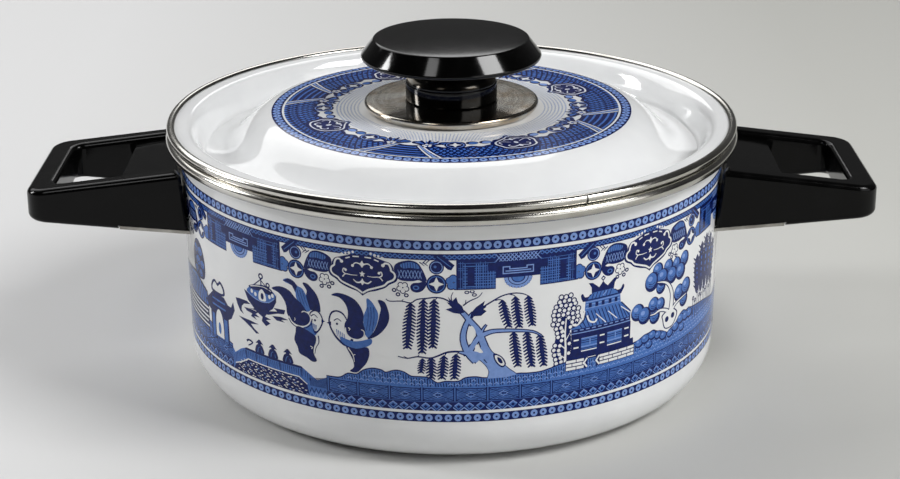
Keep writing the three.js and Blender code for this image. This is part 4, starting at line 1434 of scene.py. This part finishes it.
    def pagoda(self) -> None:
        """Draw the pagoda with its horned roofs, windows and brick steps."""
        self.area(DARK, [(440, 4), (464, 28), (440, 56), (416, 28)])
        self.area(BARE, [(440, 18), (452, 28), (440, 42), (428, 28)])
        upper_eaves = [(222, 152), (240, 136), (262, 170), (300, 168), (330, 150), (550, 150), (590, 168)]
        upper_eaves += [(630, 164), (652, 128), (668, 150), (642, 196), (600, 212), (280, 212), (236, 196)]
        self.blob(DARK, upper_eaves)
        horned_ridge = [(294, 48), (336, 54), (372, 82), (400, 104), (424, 76)]
        horned_ridge += [(440, 54), (458, 78), (488, 104), (520, 78), (556, 50)]
        horned_ridge += [(590, 52), (562, 92), (552, 150), (328, 150), (324, 92)]
        self.area(DARK, horned_ridge)
        self.area(MID, [(342, 142), (540, 142), (590, 178), (600, 196), (290, 196), (300, 178)])
        for x in range(350, 560, 36):
            self.rule(DARK, [(x, 144), (x - 20, 196)], 8)
        self.rule(PALE, [(440, 186), (480, 150)], 10)
        self.area(MID, [(268, 208), (626, 208), (634, 300), (262, 300)])
        for y in (214, 238, 270):
            self.box(PALE, 270, y, 624, y + 9)
        for x in (300, 366, 430, 502, 566):
            self.box(DARK, x, 230, x + 30, 272)
        lower_roof = [(276, 290), (642, 290), (750, 400), (750, 494)]
        lower_roof += [(138, 494), (138, 430), (252, 390), (262, 330)]
        self.area(MID, lower_roof)
        for i in range(15):
            x = 180 + 36 * i
            top = max(296, 420 - (x - 130)) if x < 262 else (300 if x < 620 else 300 + (x - 620))
            self.rule(DARK, [(x, top), (x + 60, 446)], 9)
        self.line(DARK, [(262, 300), (266, 340), (244, 392), (140, 432)], 12)
        self.rule(DARK, [(642, 292), (752, 402)], 12)
        for start, end in (((376, 340), (482, 442)), ((500, 342), (602, 432)), ((640, 332), (746, 412))):
            self.rule(BARE, [start, end], 9)
        self.line(BARE, [(288, 340), (306, 388), (342, 412), (374, 410), (384, 388)], 15, 18)
        self.line(BARE, [(262, 292), (252, 340), (222, 390), (182, 414), (146, 396)], 14, 18)
        self.box(DARK, 138, 448, 750, 498)
        for i in range(10):
            self.box(PALE, 160 + 60 * i, 458, 196 + 60 * i, 468)
        self.box(PALE, 140, 484, 748, 493)
        self.box(DARK, 140, 494, 756, 724)
        self.area(DARK, [(110, 680), (140, 660), (756, 660), (792, 660), (796, 726), (100, 726)])
        for left in (236, 500):
            self.box(MID, left, 542, left + 158, 668)
            for y in (562, 580, 634, 648):
                self.box(DARK, left, y, left + 158, y + 7)
            self.box(PALE, left, 540, left + 158, 549)
            self.box(BARE, left, 656, left + 156, 666)
            self.box(PALE, left + 82, 556, left + 91, 606)
            self.box(PALE, left, 616, left + 158, 625)
        for x in (162, 422, 686):
            for y in (544, 614):
                self.box(BARE, x, y, x + 50, y + 15)
        for left, right in ((88, 304), (386, 812)):
            self.box(DARK, left, 726, right, 826)
        for row in range(3):
            top = 730 + 33 * row
            for start, stop, shift in ((92, 270, 40), (424, 808, 60)):
                length = 100
                cut = start - (shift if row % 2 else 0)
                while cut < stop:
                    self.box(BARE, max(cut, start) + 3, top, min(cut + length, stop) - 3, top + 25)
                    cut += length
        self.rule(BARE, [(300, 734), (268, 776), (300, 818)], 16)
        self.rule(BARE, [(424, 734), (392, 776), (424, 818)], 16)

    def cloud_tree(self) -> None:
        """Draw the tree with cloud-like heads on a white forked trunk."""
        heads = [(1080, 112, 68), (1230, 118, 66), (1356, 130, 62), (1490, 120, 72), (1130, 284, 62)]
        heads += [(1508, 512, 68), (1062, 540, 68), (1006, 202, 88), (1152, 196, 78), (1292, 216, 78)]
        heads += [(1428, 222, 78), (840, 442, 78), (1042, 424, 70), (1134, 446, 62), (926, 494, 78)]
        heads += [(1420, 424, 80), (1540, 396, 80)]
        for x, y, radius in heads:
            self.dot(DARK, x, y, radius + 3, steps=20)
            self.dot(MID, x - 0.14 * radius, y - 0.16 * radius, 0.8 * radius, steps=18)
            self.dot(PALE, x - 0.3 * radius, y - 0.38 * radius, 0.34 * radius, 0.8, steps=12)
            for shift in (0.1, 0.34):
                ends = y + shift * radius
                dip = (x, y + (shift + 0.16) * radius)
                self.line(DARK, [(x - 0.5 * radius, ends), dip, (x + 0.5 * radius, ends)], 7, 4)
        stem = [(1286, 690), (1290, 580), (1304, 470), (1296, 380), (1250, 300), (1180, 252), (1080, 226)]
        trunk = (
            (stem, 70, 9),
            ([(1276, 570), (1220, 528), (1130, 502), (1060, 516), (1000, 512)], 34, 10),
            ([(1310, 560), (1360, 516), (1440, 492), (1550, 474)], 34, 9),
        )
        body = [(1172, 572), (1182, 610), (1206, 680), (1250, 706), (1330, 700)]
        body += [(1384, 640), (1392, 596), (1352, 560), (1290, 536), (1220, 548)]
        for grow, ink in ((16, DARK), (-2, BARE)):
            for path, width, tip in trunk:
                self.line(ink, path, width + grow, tip + grow)
            self.blob(ink, scaled(body, (1284, 626), 1.1 if ink is DARK else 0.98))
        for x, y in ((1240, 620), (1330, 608)):
            self.dot(DARK, x, y, 27, steps=14)

    def tower(self) -> None:
        """Draw the temple, its striped wall and the dark tree at the left end of the scene."""
        grove = [(296, 400), (284, 350), (300, 290), (330, 262), (372, 270)]
        grove += [(404, 310), (414, 360), (400, 404), (350, 414)]
        self.blob(DARK, grove)
        clumps = [(322, 300, 20), (366, 304, 22), (340, 346, 24)]
        clumps += [(386, 352, 20), (316, 384, 18), (366, 390, 18)]
        for x, y, radius in clumps:
            self.dot(MID, x, y, radius, 0.8, steps=12)
            self.line(DARK, [(x - radius * 0.6, y + 2), (x, y + 8), (x + radius * 0.6, y + 2)], 4, 3)
        self.area(MID, [(90, 430), (300, 404), (420, 446), (432, 500), (110, 500)])
        for i in range(14):
            self.rule(DARK, [(120 + 22 * i, 436 - 10 * sin(0.24 * i)), (108 + 23 * i, 496)], 7)
        self.rule(DARK, [(90, 430), (300, 404), (420, 446), (432, 500)], 9)
        curl = [(466, 416), (474, 386), (498, 370), (520, 380), (540, 366)]
        curl += [(566, 384), (572, 412), (546, 424), (490, 426)]
        self.blob(DARK, curl)
        bare_curl = [(478, 412), (484, 390), (500, 380), (520, 392)]
        bare_curl += [(540, 378), (556, 390), (560, 410), (520, 416)]
        self.blob(BARE, bare_curl)
        eaves = [(408, 476), (440, 452), (476, 424), (564, 424), (590, 446)]
        eaves += [(612, 448), (628, 422), (636, 452), (612, 492)]
        self.area(DARK, [*eaves, (590, 504), (446, 504)])
        for y in (446, 470):
            self.box(MID, 470, y, 572, y + 7)
        self.box(DARK, 452, 500, 590, 612)
        self.box(MID, 462, 512, 484, 606)
        self.box(MID, 556, 512, 580, 606)
        door = [(492, 612), (490, 540), (500, 500), (520, 484)]
        door += [(540, 500), (550, 540), (548, 612), (520, 616)]
        self.blob(BARE, door)
        self.dot(MID, 520, 560, 10, 2.4, steps=10)
        self.box(DARK, 140, 498, 430, 612)
        for row in range(6):
            self.box(BARE, 130 + 12 * (row % 2), 508 + 18 * row, 428 - 10 * (row % 2), 516 + 18 * row)

    def thicket(self) -> None:
        """Draw the feathery trees and the dotted flowers at the right end of the scene."""
        crowns = [(286, 300, 150, -14), (330, 262, 190, -8), (380, 244, 210, 2)]
        crowns += [(430, 258, 196, 10), (476, 296, 160, 16)]
        for x, y, length, lean in crowns:
            side, foot = y + 0.35 * length, y + length
            leaf = [(x, y), (x + 24, side), (x + 15 - lean, foot), (x - 15 - lean, foot), (x - 24, side)]
            self.blob(DARK, leaf)
            vein = [(x - 8, y + 0.2 * length), (x + 6, y + 0.4 * length), (x - 4 - lean, y + 0.8 * length)]
            self.blob(MID, vein)
            for i in range(7):
                top, spine = y + 12 + i * length / 8, lean * i / 8
                for sign in (-1, 1):
                    self.line(DARK, [(x - spine, top + 20), (x + sign * 34 - spine, top - 6)], 12, 3)
        for i in range(12):
            x = 266 + 20 * i
            y = 470 + 16 * sin(2.2 * i)
            self.rule(DARK, [(x, 556), (x, y)], 4)
            self.dot(DARK, x, y, 9, steps=9)
            self.dot(BARE, x, y, 4, steps=7)


@dataclass
class WallPrint:
    """The print round the wall: two rows of beads, a scrolled border, the willow scene and its fence."""

    pot: Pot
    middle_radius: float = 104.2
    beads: int = 190
    posts: int = 56
    water_posts: tuple[int, int] = (6, 9)
    cartouches: int = 6
    upper_beads: tuple[float, float, float] = (83.8, 87.4, 1.42)
    lower_beads: tuple[float, float, float] = (18.8, 22.1, 1.34)
    border_centre: float = -31.7
    border_top: float = 86.0
    border_span: Point = (65.0, 82.6)
    border_grid: float = 1 / 30
    scene_low: float = 23.2
    scene_top: float = 69.0
    scene_grid: float = 1 / 24
    near_views: tuple[float, float, float] = (-87.3, -22.74, 37.28)
    far_top: float = 92.0
    far_grid: float = 0.1
    far_views: Point = (-154.6, 81.84)
    fence_top: float = 32.4

    @property
    def turn_length(self) -> float:
        """Length of the print once round the wall."""
        return 2 * pi * self.middle_radius

    def place(self, along: float, height: float) -> tuple[Vector, Vector]:
        """Spot and outward direction on the wall, by length round from the front and by height."""
        turn = along / self.middle_radius
        radius = self.pot.wall_radius(height)
        slope = self.pot.draft / (self.pot.flange_height - self.pot.flange_bend - self.pot.corner)
        out = Vector((sin(turn), -cos(turn), 0.0))
        return out * radius + Vector((0, 0, height)), (out - Vector((0, 0, slope))).normalized()

    def bead_row(self, low: float, high: float, radius: float) -> Sheet:
        """One bead on its dark band."""
        width, shapes = self.turn_length / self.beads, []
        pen = Pen(shapes, (width / 2, (low + high) / 2))
        pen.box(DARK, -width / 2, (low - high) / 2, width / 2, (high - low) / 2)
        pen.dot(PALE, 0, 0, radius, steps=12)
        pen.dot(DARK, 0, 0.05, radius * 0.33, steps=6)
        return Sheet(width, low, high, shapes, width)

    def fence(self) -> Sheet:
        """One fence panel: a post, two rails, crossed bars and the row of diamonds below."""
        width, shapes = self.turn_length / self.posts, []
        half, centre = width / 2, width / 2 + 0.4
        pen = Pen(shapes, (0.0, self.fence_top))
        pen.box(MID, 0, 0, width, 9.2)
        for top, bottom in ((1.0, 5.0), (5.0, 1.0)):
            pen.rule(DARK, [(1.3, top), (width, bottom)], 0.34)
        for shift in (0.75, 1.5):
            pen.rule(DARK, [(1.5, 1.0 + shift), (half - shift, 3.0), (1.5, 5.0 - shift)], 0.24)
            far = [(width, 1.0 + shift), (half + 0.8 + shift, 3.0), (width, 5.0 - shift)]
            pen.rule(DARK, far, 0.24)
            for end, tip in ((1.1, 2.9 - shift), (4.9, 3.1 + shift)):
                pen.rule(DARK, [(1.5 + 1.9 * shift, end), (centre, tip), (width - 1.9 * shift, end)], 0.24)
        diamond = [(half - 1.2, 3.0), (centre, 2.1), (half + 2.0, 3.0), (centre, 3.9)]
        pen.rule(PALE, [*diamond, diamond[0]], 0.22)
        for top in (0.45, 5.15):
            pen.box(DARK, 0, top, width, top + 0.4)
        pen.box(DARK, 0, 0.2, 0.42, 5.6)
        pen.box(MID, 0.42, 0.5, 0.85, 5.4)
        pen.box(DARK, 0.85, 0.2, 1.3, 5.6)
        pen.box(DARK, 0, 5.75, width, 9.2)
        third = width / 3
        for i in range(3):
            left = i * third
            middle, right = left + third / 2, left + third
            pen.area(MID, [(left + 0.35, 7.4), (middle, 5.95), (right - 0.35, 7.4), (middle, 8.8)])
            pen.rule(PALE, [(left + 0.5, 7.3), (middle, 6.2), (right - 0.5, 7.3)], 0.36)
            pen.area(DARK, [(left + 1.2, 7.6), (middle, 6.9), (right - 1.2, 7.6), (middle, 8.3)])
            pen.rule(PALE, [(left - third / 2 + 0.3, 9.2), (left, 7.9), (middle - 0.3, 9.2)], 0.4)
        return Sheet(width, self.scene_low, self.fence_top, shapes, 2.0)

    def border(self) -> Sheet:
        """One repeat of the border, the same to both sides of its cartouche."""
        width, shapes = self.turn_length / self.cartouches, []
        pen = BorderPen(shapes, (width / 2, self.border_top), self.border_grid)
        end = width / 2 / self.border_grid
        for mirrored in (False, True):
            pen.mirrored = mirrored
            pen.side(end)
        for mirrored in (False, True):
            pen.mirrored = mirrored
            pen.cartouche()
        return Sheet(width, *self.border_span, shapes)

    def scene(self) -> Sheet:
        """The willow scene, which goes half way round the wall."""
        width, shapes = self.turn_length / 2, []
        near = ((width / 2 + along, self.scene_top) for along in self.near_views)
        left, middle, right = (ScenePen(shapes, origin, self.scene_grid) for origin in near)
        far = ((width / 2 + along, self.far_top) for along in self.far_views)
        far_left, far_right = (ScenePen(shapes, origin, self.far_grid) for origin in far)
        middle.round_leaf_tree()
        self.ground(shapes, width, left, middle, right)
        left.bridge()
        left.boat()
        left.left_dove()
        left.right_dove()
        middle.willow()
        right.pagoda()
        right.cloud_tree()
        far_left.tower()
        far_right.thicket()
        return Sheet(width, self.scene_low, self.scene_top, shapes)

    def ground(self, shapes: Shapes, width: float, left: Pen, middle: Pen, right: Pen) -> None:
        """Draw the hills down to the top of the fence, with a dark edge and short grass under it.

        Args:
            shapes: The scene's shapes.
            width: The scene's width.
            left: The pen of the left view.
            middle: The pen of the middle view.
            right: The pen of the right view.
        """
        pen = ScenePen(shapes)
        near = [(-2.0, -36.2), (14.0, -37.8), (28.0, -35.8), (44.0, -37.0), (58.0, -35.2), (70.15, -32.6)]
        hills = [(973, 893), (1040, 872), (1110, 862), (1180, 816), (1260, 814)]
        hills += [(1320, 768), (1400, 740), (1480, 746), (1520, 766)]
        far = [left.spot(*p) for p in hills]
        bumps = [(20, 748), (70, 738), (130, 750), (190, 784), (260, 786), (340, 792)]
        bumps += [(410, 838), (480, 824), (590, 824), (650, 792), (740, 786), (840, 800)]
        bumps += [(1085, 780), (1180, 786), (1300, 786), (1400, 766)]
        far += [middle.spot(*p) for p in bumps]
        slopes = [(90, 740), (400, 738), (800, 716), (880, 700), (930, 680), (990, 676), (1050, 666)]
        slopes += [(1100, 690), (1150, 702), (1200, 722), (1250, 750), (1300, 730), (1360, 712), (1400, 690)]
        slopes += [(1440, 652), (1510, 622), (1570, 640), (1620, 630), (1680, 646)]
        far += [right.spot(*p) for p in slopes]
        far += [(284.0, 40.4), (298.0, 37.6), (312.0, 38.4), (width + 2, 36.2)]
        far[0] = (116.91, 32.6)
        for edge in (near, [(x, -z) for x, z in far]):
            pen.area(MID, [(edge[0][0], -32.4), *edge, (edge[-1][0], -32.4)])
            for i in range(int((edge[-1][0] - edge[0][0]) / 0.95)):
                x = edge[0][0] + 0.6 + 0.95 * i
                top = height_at(edge, x)
                low = min(top + 3.4 + 1.4 * sin(2.1 * i), -32.5)
                if top + 0.7 < low:
                    pen.rule(DARK, [(x, top + 0.5), (x + 0.2, low)], 0.36)
            pen.line(DARK, edge, 0.46)
            pen.scallops(edge)
        boulders = [(870, 742, 52), (950, 722, 56), (1040, 712, 54), (1120, 734, 50)]
        boulders += [(1200, 764, 52), (1300, 774, 48), (1390, 740, 58), (1470, 690, 62)]
        boulders += [(1560, 690, 60), (1640, 690, 56), (1000, 790, 46), (1500, 780, 50)]
        for x, y, radius in boulders:
            right.dot(DARK, x, y, radius, 0.8, steps=16)
            right.dot(MID, x - 6, y - 8, radius * 0.82, 0.76, steps=14)
            right.dot(PALE, x - 0.3 * radius, y - 0.34 * radius, radius * 0.3, 0.6, steps=10)

    def build(self, inks: list[Material]) -> None:
        """Draw all the sheets and wrap them on the wall."""
        turn = self.turn_length
        bead, post, period = turn / self.beads, turn / self.posts, turn / self.cartouches
        bead_starts = [i * bead for i in range(self.beads)]
        half = turn / 2
        first, last = self.water_posts
        dry = [i for i in range(self.posts) if not first <= i % (self.posts // 2) <= last]
        post_starts = [i * post - half / 2 for i in dry]
        border_starts = [self.border_centre - period / 2 + i * period for i in range(self.cartouches)]
        rows = [(self.bead_row(*sizes), bead_starts) for sizes in (self.upper_beads, self.lower_beads)]
        for name, sheets in (
            ("wall_print_beads", rows),
            ("wall_print_border", [(self.border(), border_starts)]),
            ("wall_print_scene", [(self.scene(), [-half / 2, half / 2])]),
            ("wall_print_fence", [(self.fence(), post_starts)]),
        ):
            Film(name, Body.POT, turn, self.place).build(sheets, inks)


@dataclass
class CrownPrint:
    """The print on the lid's crown: a bead ring, a lattice field with cartouches, coins and dotted rings."""

    lid: Lid
    beads: int = 124
    middle_radius: float = 60.0
    quarters: int = 4
    first_turn: float = -108.0
    bead_middle: float = 67.4
    bead_span: Point = (65.4, 69.4)
    field_radius: float = 65.0
    field_span: Point = (34.0, 64.6)

    @property
    def turn_length(self) -> float:
        """Length of the print once round the crown."""
        return 2 * pi * self.middle_radius

    def place(self, along: float, radius: float) -> tuple[Vector, Vector]:
        """Spot and outward direction on the crown, by length round and by distance from the axis."""
        turn = radians(self.first_turn) - along / self.middle_radius
        height, slope = self.surface(radius)
        out = Vector((cos(turn), sin(turn), 0.0))
        normal = (Vector((0, 0, 1)) - out * slope).normalized()
        return out * radius + Vector((0, 0, height)), normal

    def surface(self, radius: float) -> tuple[float, float]:
        """Height and slope of the enamel's upper face at a distance from the axis."""
        upper = self.lid.upper_line
        for (r0, z0), (r1, z1) in zip(upper, upper[1:]):
            if r1 <= radius <= r0 and r0 > r1:
                slope = (z0 - z1) / (r0 - r1)
                return z1 + slope * (radius - r1), slope
        return upper[-1][1], 0.0

    def bead_ring(self) -> Sheet:
        """One bead on its dark ring."""
        width, shapes = self.turn_length / self.beads, []
        pen = Pen(shapes, (width / 2, self.bead_middle))
        pen.box(DARK, -width / 2, -2.0, width / 2, 2.0)
        pen.area(PALE, [(x * 0.89, y) for x, y in arc((0.0, 0.0), 1.48, 0, 330, 11)])
        pen.dot(DARK, 0, 0, 0.48, steps=6)
        return Sheet(width, *self.bead_span, shapes, width, 4)

    def quarter(self) -> Sheet:
        """One quarter of the crown's picture, from a V-shaped strip to the next."""
        width, shapes = self.turn_length / self.quarters, []
        pen = Pen(shapes, (0.0, self.field_radius))
        pen.box(MID, 0, 0.5, width, 12.6)
        for i in range(-8, 40):
            for top, bottom in ((0.5, 12.6), (12.6, 0.5)):
                pen.rule(DARK, [(2.6 * i, top), (2.6 * i + 8.2, bottom)], 0.8)
        for row in range(4):
            for i in range(36):
                pen.dot(DARK, 2.62 * (i + 0.5 * (row % 2)), 2.2 + 2.9 * row, 0.7, steps=6)
        edge = [(width * i / 24, 12.6 + (0.8 if i % 2 else -0.6)) for i in range(25)]
        pen.line(DARK, edge, 1.4)
        for i in range(15):
            pen.dot(DARK, width * (i + 0.5) / 15, 17.4, 3.0, 0.62, steps=12)
        for i in range(15):
            pen.dot(PALE if i % 2 else MID, width * (i + 0.42) / 15, 17.1, 2.3, 0.6, steps=10)
        for sign in (1, -1):
            middle = 0.0 if sign > 0 else width
            strip = [(middle - sign, 0.5), (middle + sign * 12.6, 0.5)]
            strip += [(middle + sign * 5.2, 13.6), (middle - sign, 13.6)]
            pen.area(DARK, strip)
            for shift, ink in ((0.0, BARE), (1.7, PALE), (3.2, BARE)):
                ray = [(middle + sign * (15.2 - shift), 0.6), (middle + sign * (6.3 - shift * 0.6), 13.6)]
                pen.rule(ink, ray, 0.75)
            for i in range(5):
                bar = 1.4 + 2.5 * i
                pen.rule(MID, [(middle - sign, bar), (middle + sign * (10.6 - 1.6 * i), bar)], 0.8)
            self.coin(pen, middle + sign * 20.4, 15.6)
            self.fan(pen, middle + sign * 8.2, 16.4)
        self.cartouche(pen, width / 2)
        for row in range(7):
            count = 58 - 3 * row
            for i in range(count):
                spot = width * (i + 0.25 + 0.5 * (row % 2)) / count
                pen.dot(PALE, spot, 20.8 + 1.35 * row, 0.44, 0.8, steps=5)
        return Sheet(width, *self.field_span, shapes, 4.0)

    def coin(self, pen: Pen, x: float, y: float) -> None:
        """Draw a dark coin with a four-pointed white star."""
        wide = self.middle_radius / (self.field_radius - y)
        for ink, radius in ((DARK, 4.0), (PALE, 3.4), (DARK, 3.05)):
            turns = [2 * pi * i / 18 for i in range(18)]
            pen.area(ink, [(x + wide * radius * cos(t), y + radius * sin(t)) for t in turns])
        pen.star(BARE, (x, y), 2.8, 0.8, wide)

    def fan(self, pen: Pen, x: float, y: float) -> None:
        """Draw a fan of leaves with a small white flower on it."""
        for turn in (-64, -32, 0, 32, 64):
            lean = radians(turn)
            tip = (x + 8.2 * sin(lean), y - 2.0 + 6.4 * cos(lean))
            pen.rule(DARK, [(x, y - 2.6), tip], 2.5, 1.0)
        for turn in (-48, -16, 16, 48):
            lean = radians(turn)
            pen.rule(MID, [(x, y - 2.0), (x + 6.4 * sin(lean), y - 1.4 + 4.8 * cos(lean))], 0.5)
        pen.dot(DARK, x, y - 2.0, 2.7, 0.85, steps=12)
        for i in range(5):
            turn = 2 * pi * i / 5
            pen.dot(BARE, x + 1.5 * cos(turn), y - 2.0 + 1.25 * sin(turn), 0.82, steps=7)
        pen.dot(MID, x, y - 2.0, 0.6, steps=6)

    def cartouche(self, pen: Pen, x: float) -> None:
        """Draw a dark cartouche with a white line along its edge and white scrolls."""
        edge = [(0, 5.0), (4.2, 5.4), (8.2, 7.2), (9.8, 10.4), (11.2, 13.2)]
        edge += [(10.4, 16.4), (6.4, 18.8), (2.8, 20.6), (0, 22.4)]
        sides = [(x + left, top) for left, top in edge] + [(x - left, top) for left, top in edge[-2:0:-1]]
        pen.blob(DARK, sides)
        pen.blob(BARE, scaled(sides, (x, 13.2), 0.84))
        pen.blob(DARK, scaled(sides, (x, 13.2), 0.76))
        upper = [(1.0, 9.4), (3.6, 8.8), (4.8, 10.6), (3.6, 11.4)]
        side = [(6.6, 12.6), (7.2, 14.6), (5.4, 15.6), (2.0, 14.0)]
        lower = [(1.0, 17.0), (2.8, 17.4), (4.2, 16.6)]
        for sign in (1, -1):
            for scroll, width, tip in ((upper, 0.8, 0.5), (side, 0.7, 0.4), (lower, 0.8, 0.5)):
                pen.line(BARE, [(x + sign * left, top) for left, top in scroll], width, tip)
        for y in (9.4, 13.2, 17.2):
            pen.dot(BARE, x, y, 0.95, 1.3, steps=9)

    def build(self, inks: list[Material]) -> None:
        """Draw the sheets and wrap them on the crown."""
        bead, quarter = self.turn_length / self.beads, self.turn_length / self.quarters
        sheets = [
            (self.bead_ring(), [i * bead for i in range(self.beads)]),
            (self.quarter(), [i * quarter for i in range(self.quarters)]),
        ]
        Film("crown_print", Body.LID, self.turn_length, self.place).build(sheets, inks)


@dataclass
class Hardware:
    """The brackets, screws, washers and bushes, which keep their solids and get their metals."""

    finishes: tuple[tuple[str, Any], ...] = (
        ("handle_bracket", BRACKET_STEEL),
        ("handle_insert", BRASS),
        ("knob_insert", BRASS),
        ("handle_screw", ZINC),
        ("handle_washer", ZINC),
        ("knob_screw", ZINC),
        ("knob_washer", ZINC),
        ("knob_seal", FIBRE),
    )

    def dress(self) -> None:
        """Give each small solid the material of its kind."""
        made = {finish.name: finish.material() for finish in dict.fromkeys(f for _, f in self.finishes)}
        for name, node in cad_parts.items():
            for start, finish in self.finishes:
                if name.startswith(start):
                    node.data.materials.clear()
                    node.data.materials.append(made[finish.name])
                    log.info("%s wears %s", name, finish.name)


@dataclass(frozen=True)
class SoftBox:
    """One soft lamp that faces the pot, with its place and size in metres."""

    name: str
    place: tuple[float, float, float]
    size: Point
    watts: float
    aim: tuple[float, float, float] = (0.0, 0.0, 0.06)

    def hang(self) -> None:
        """Hang the lamp, turned to the pot."""
        data = bpy.data.lights.new(self.name, "AREA")
        data.shape = "RECTANGLE"
        data.size, data.size_y = self.size
        data.energy = self.watts
        lamp = bpy.data.objects.new(self.name, data)
        way = Vector(self.aim) - Vector(self.place)
        lamp.rotation_euler = way.to_track_quat("-Z", "Y").to_euler()
        lamp.location = self.place
        bpy.context.scene.collection.objects.link(lamp)


SOFT_BOXES = (
    SoftBox("window_back", (-0.6, 1.25, 1.43), (2.2, 1.56), 22.5),
    SoftBox("key_right", (0.96, -0.48, 1.1), (0.55, 0.5), 15.5),
    SoftBox("strip_left", (-1.6, 0.25, 0.7), (0.26, 0.6), 13.5),
    SoftBox("window_front_left", (-0.55, -0.9, 1.15), (0.3, 0.42), 2.0),
    SoftBox("card_front_right", (1.1, -0.85, 0.46), (1.3, 0.7), 4.4),
)


@dataclass
class Studio:
    """A pale floor, soft lamps and the camera at the photograph's place."""

    distance: float = 800.0
    elevation: float = 20.2
    target_height: float = 49.5
    side_shift: float = -0.8
    roll: float = -0.3
    focal_pixels: float = 2020.0
    frame_width: float = 900.0
    sensor: float = 36.0
    clip: Point = (0.05, 50.0)
    floor_size: float = 6.0
    # Painted light on the floor: over this half span in metres, its colour grows darker from left to right,
    # as the window's light falls off.
    floor_span: float = 0.22
    floor_painted_falloff: tuple[str, str] = ("#DCDCDC", "#BEBEB9")
    floor_roughness: float = 0.8
    room_colours: tuple[str, str] = ("#0A0A0A", "#727272")
    room_strength: float = 0.5

    def camera(self) -> None:
        """Stand the camera where the photograph was taken from."""
        lift, roll = radians(self.elevation), radians(self.roll)
        forward = Vector((0.0, cos(lift), -sin(lift)))
        level = Vector((0.0, sin(lift), cos(lift)))
        across = Vector((1.0, 0.0, 0.0))
        right = across * cos(roll) + level * sin(roll)
        up = level * cos(roll) - across * sin(roll)
        place = Vector((self.side_shift, 0.0, self.target_height)) - forward * self.distance
        data = bpy.data.cameras.new("photo_camera")
        data.sensor_width = self.sensor
        data.lens = self.focal_pixels * self.sensor / self.frame_width
        data.clip_start, data.clip_end = self.clip
        camera = bpy.data.objects.new("photo_camera", data)
        turn = Matrix((right, up, -forward)).transposed().to_4x4()
        camera.matrix_world = Matrix.Translation(place * MM) @ turn
        bpy.context.scene.collection.objects.link(camera)
        bpy.context.scene.camera = camera

    def floor(self) -> None:
        """Lay a matt grey floor with painted light: its colour runs from paler at the left, where the window
        is, to darker at the right.
        """
        material, tree, shader = new_material("matt_paper_floor")
        place = add_node(tree, "ShaderNodeTexCoord").outputs["Object"]
        x = add_node(tree, "ShaderNodeSeparateXYZ", links={"Vector": place}).outputs["X"]
        span = {"From Min": -self.floor_span, "From Max": self.floor_span}
        across = add_node(tree, "ShaderNodeMapRange", span, {"Value": x}).outputs["Result"]
        ramp = add_node(tree, "ShaderNodeValToRGB", links={"Fac": across})
        for element, colour in zip(ramp.color_ramp.elements, self.floor_painted_falloff):
            element.color = linear(colour)
        shader.inputs["Roughness"].default_value = self.floor_roughness
        tree.links.new(ramp.outputs["Color"], shader.inputs["Base Color"])
        bm = bmesh.new()
        bmesh.ops.create_grid(bm, x_segments=4, y_segments=4, size=self.floor_size)
        finished("floor", bm, [material])

    def world(self) -> None:
        """Fill the room with a plain grey light that is dimmer behind the camera."""
        world = bpy.data.worlds.new("grey_room")
        world.use_nodes = True
        tree = world.node_tree
        place = add_node(tree, "ShaderNodeTexCoord").outputs["Generated"]
        y = add_node(tree, "ShaderNodeSeparateXYZ", links={"Vector": place}).outputs["Y"]
        ramp = add_node(tree, "ShaderNodeValToRGB", links={"Fac": y})
        for element, colour in zip(ramp.color_ramp.elements, self.room_colours):
            element.color = linear(colour)
        shade = tree.nodes["Background"]
        shade.inputs["Strength"].default_value = self.room_strength
        tree.links.new(ramp.outputs["Color"], shade.inputs["Color"])
        bpy.context.scene.world = world

    def build(self) -> None:
        """Set up the whole studio."""
        self.camera()
        self.floor()
        for box in SOFT_BOXES:
            box.hang()
        self.world()
        bpy.context.scene.view_settings.view_transform = "Standard"


def main() -> None:
    """Build the studio and the pot."""
    logging.basicConfig(level=logging.INFO, format="%(message)s")
    Studio().build()
    enamel, rim_steel, phenolic = ENAMEL.material(), RIM_STEEL.material(), PHENOLIC.material()
    pot = Pot()
    pot.build(enamel, rim_steel)
    lid = Lid()
    lid.build(enamel, rim_steel)
    Knob().build(BUFFED_PHENOLIC.material(), SAUCER_STEEL.material())
    Handle(pot).build("right", 0.0, phenolic)
    Handle(pot).build("left", pi, phenolic)
    inks = [ink.material() for ink in (PALE_BLUE, MID_BLUE, DARK_BLUE)]
    WallPrint(pot).build(inks)
    CrownPrint(lid).build(inks)
    Hardware().dress()


if __name__ == "__main__":
    main()
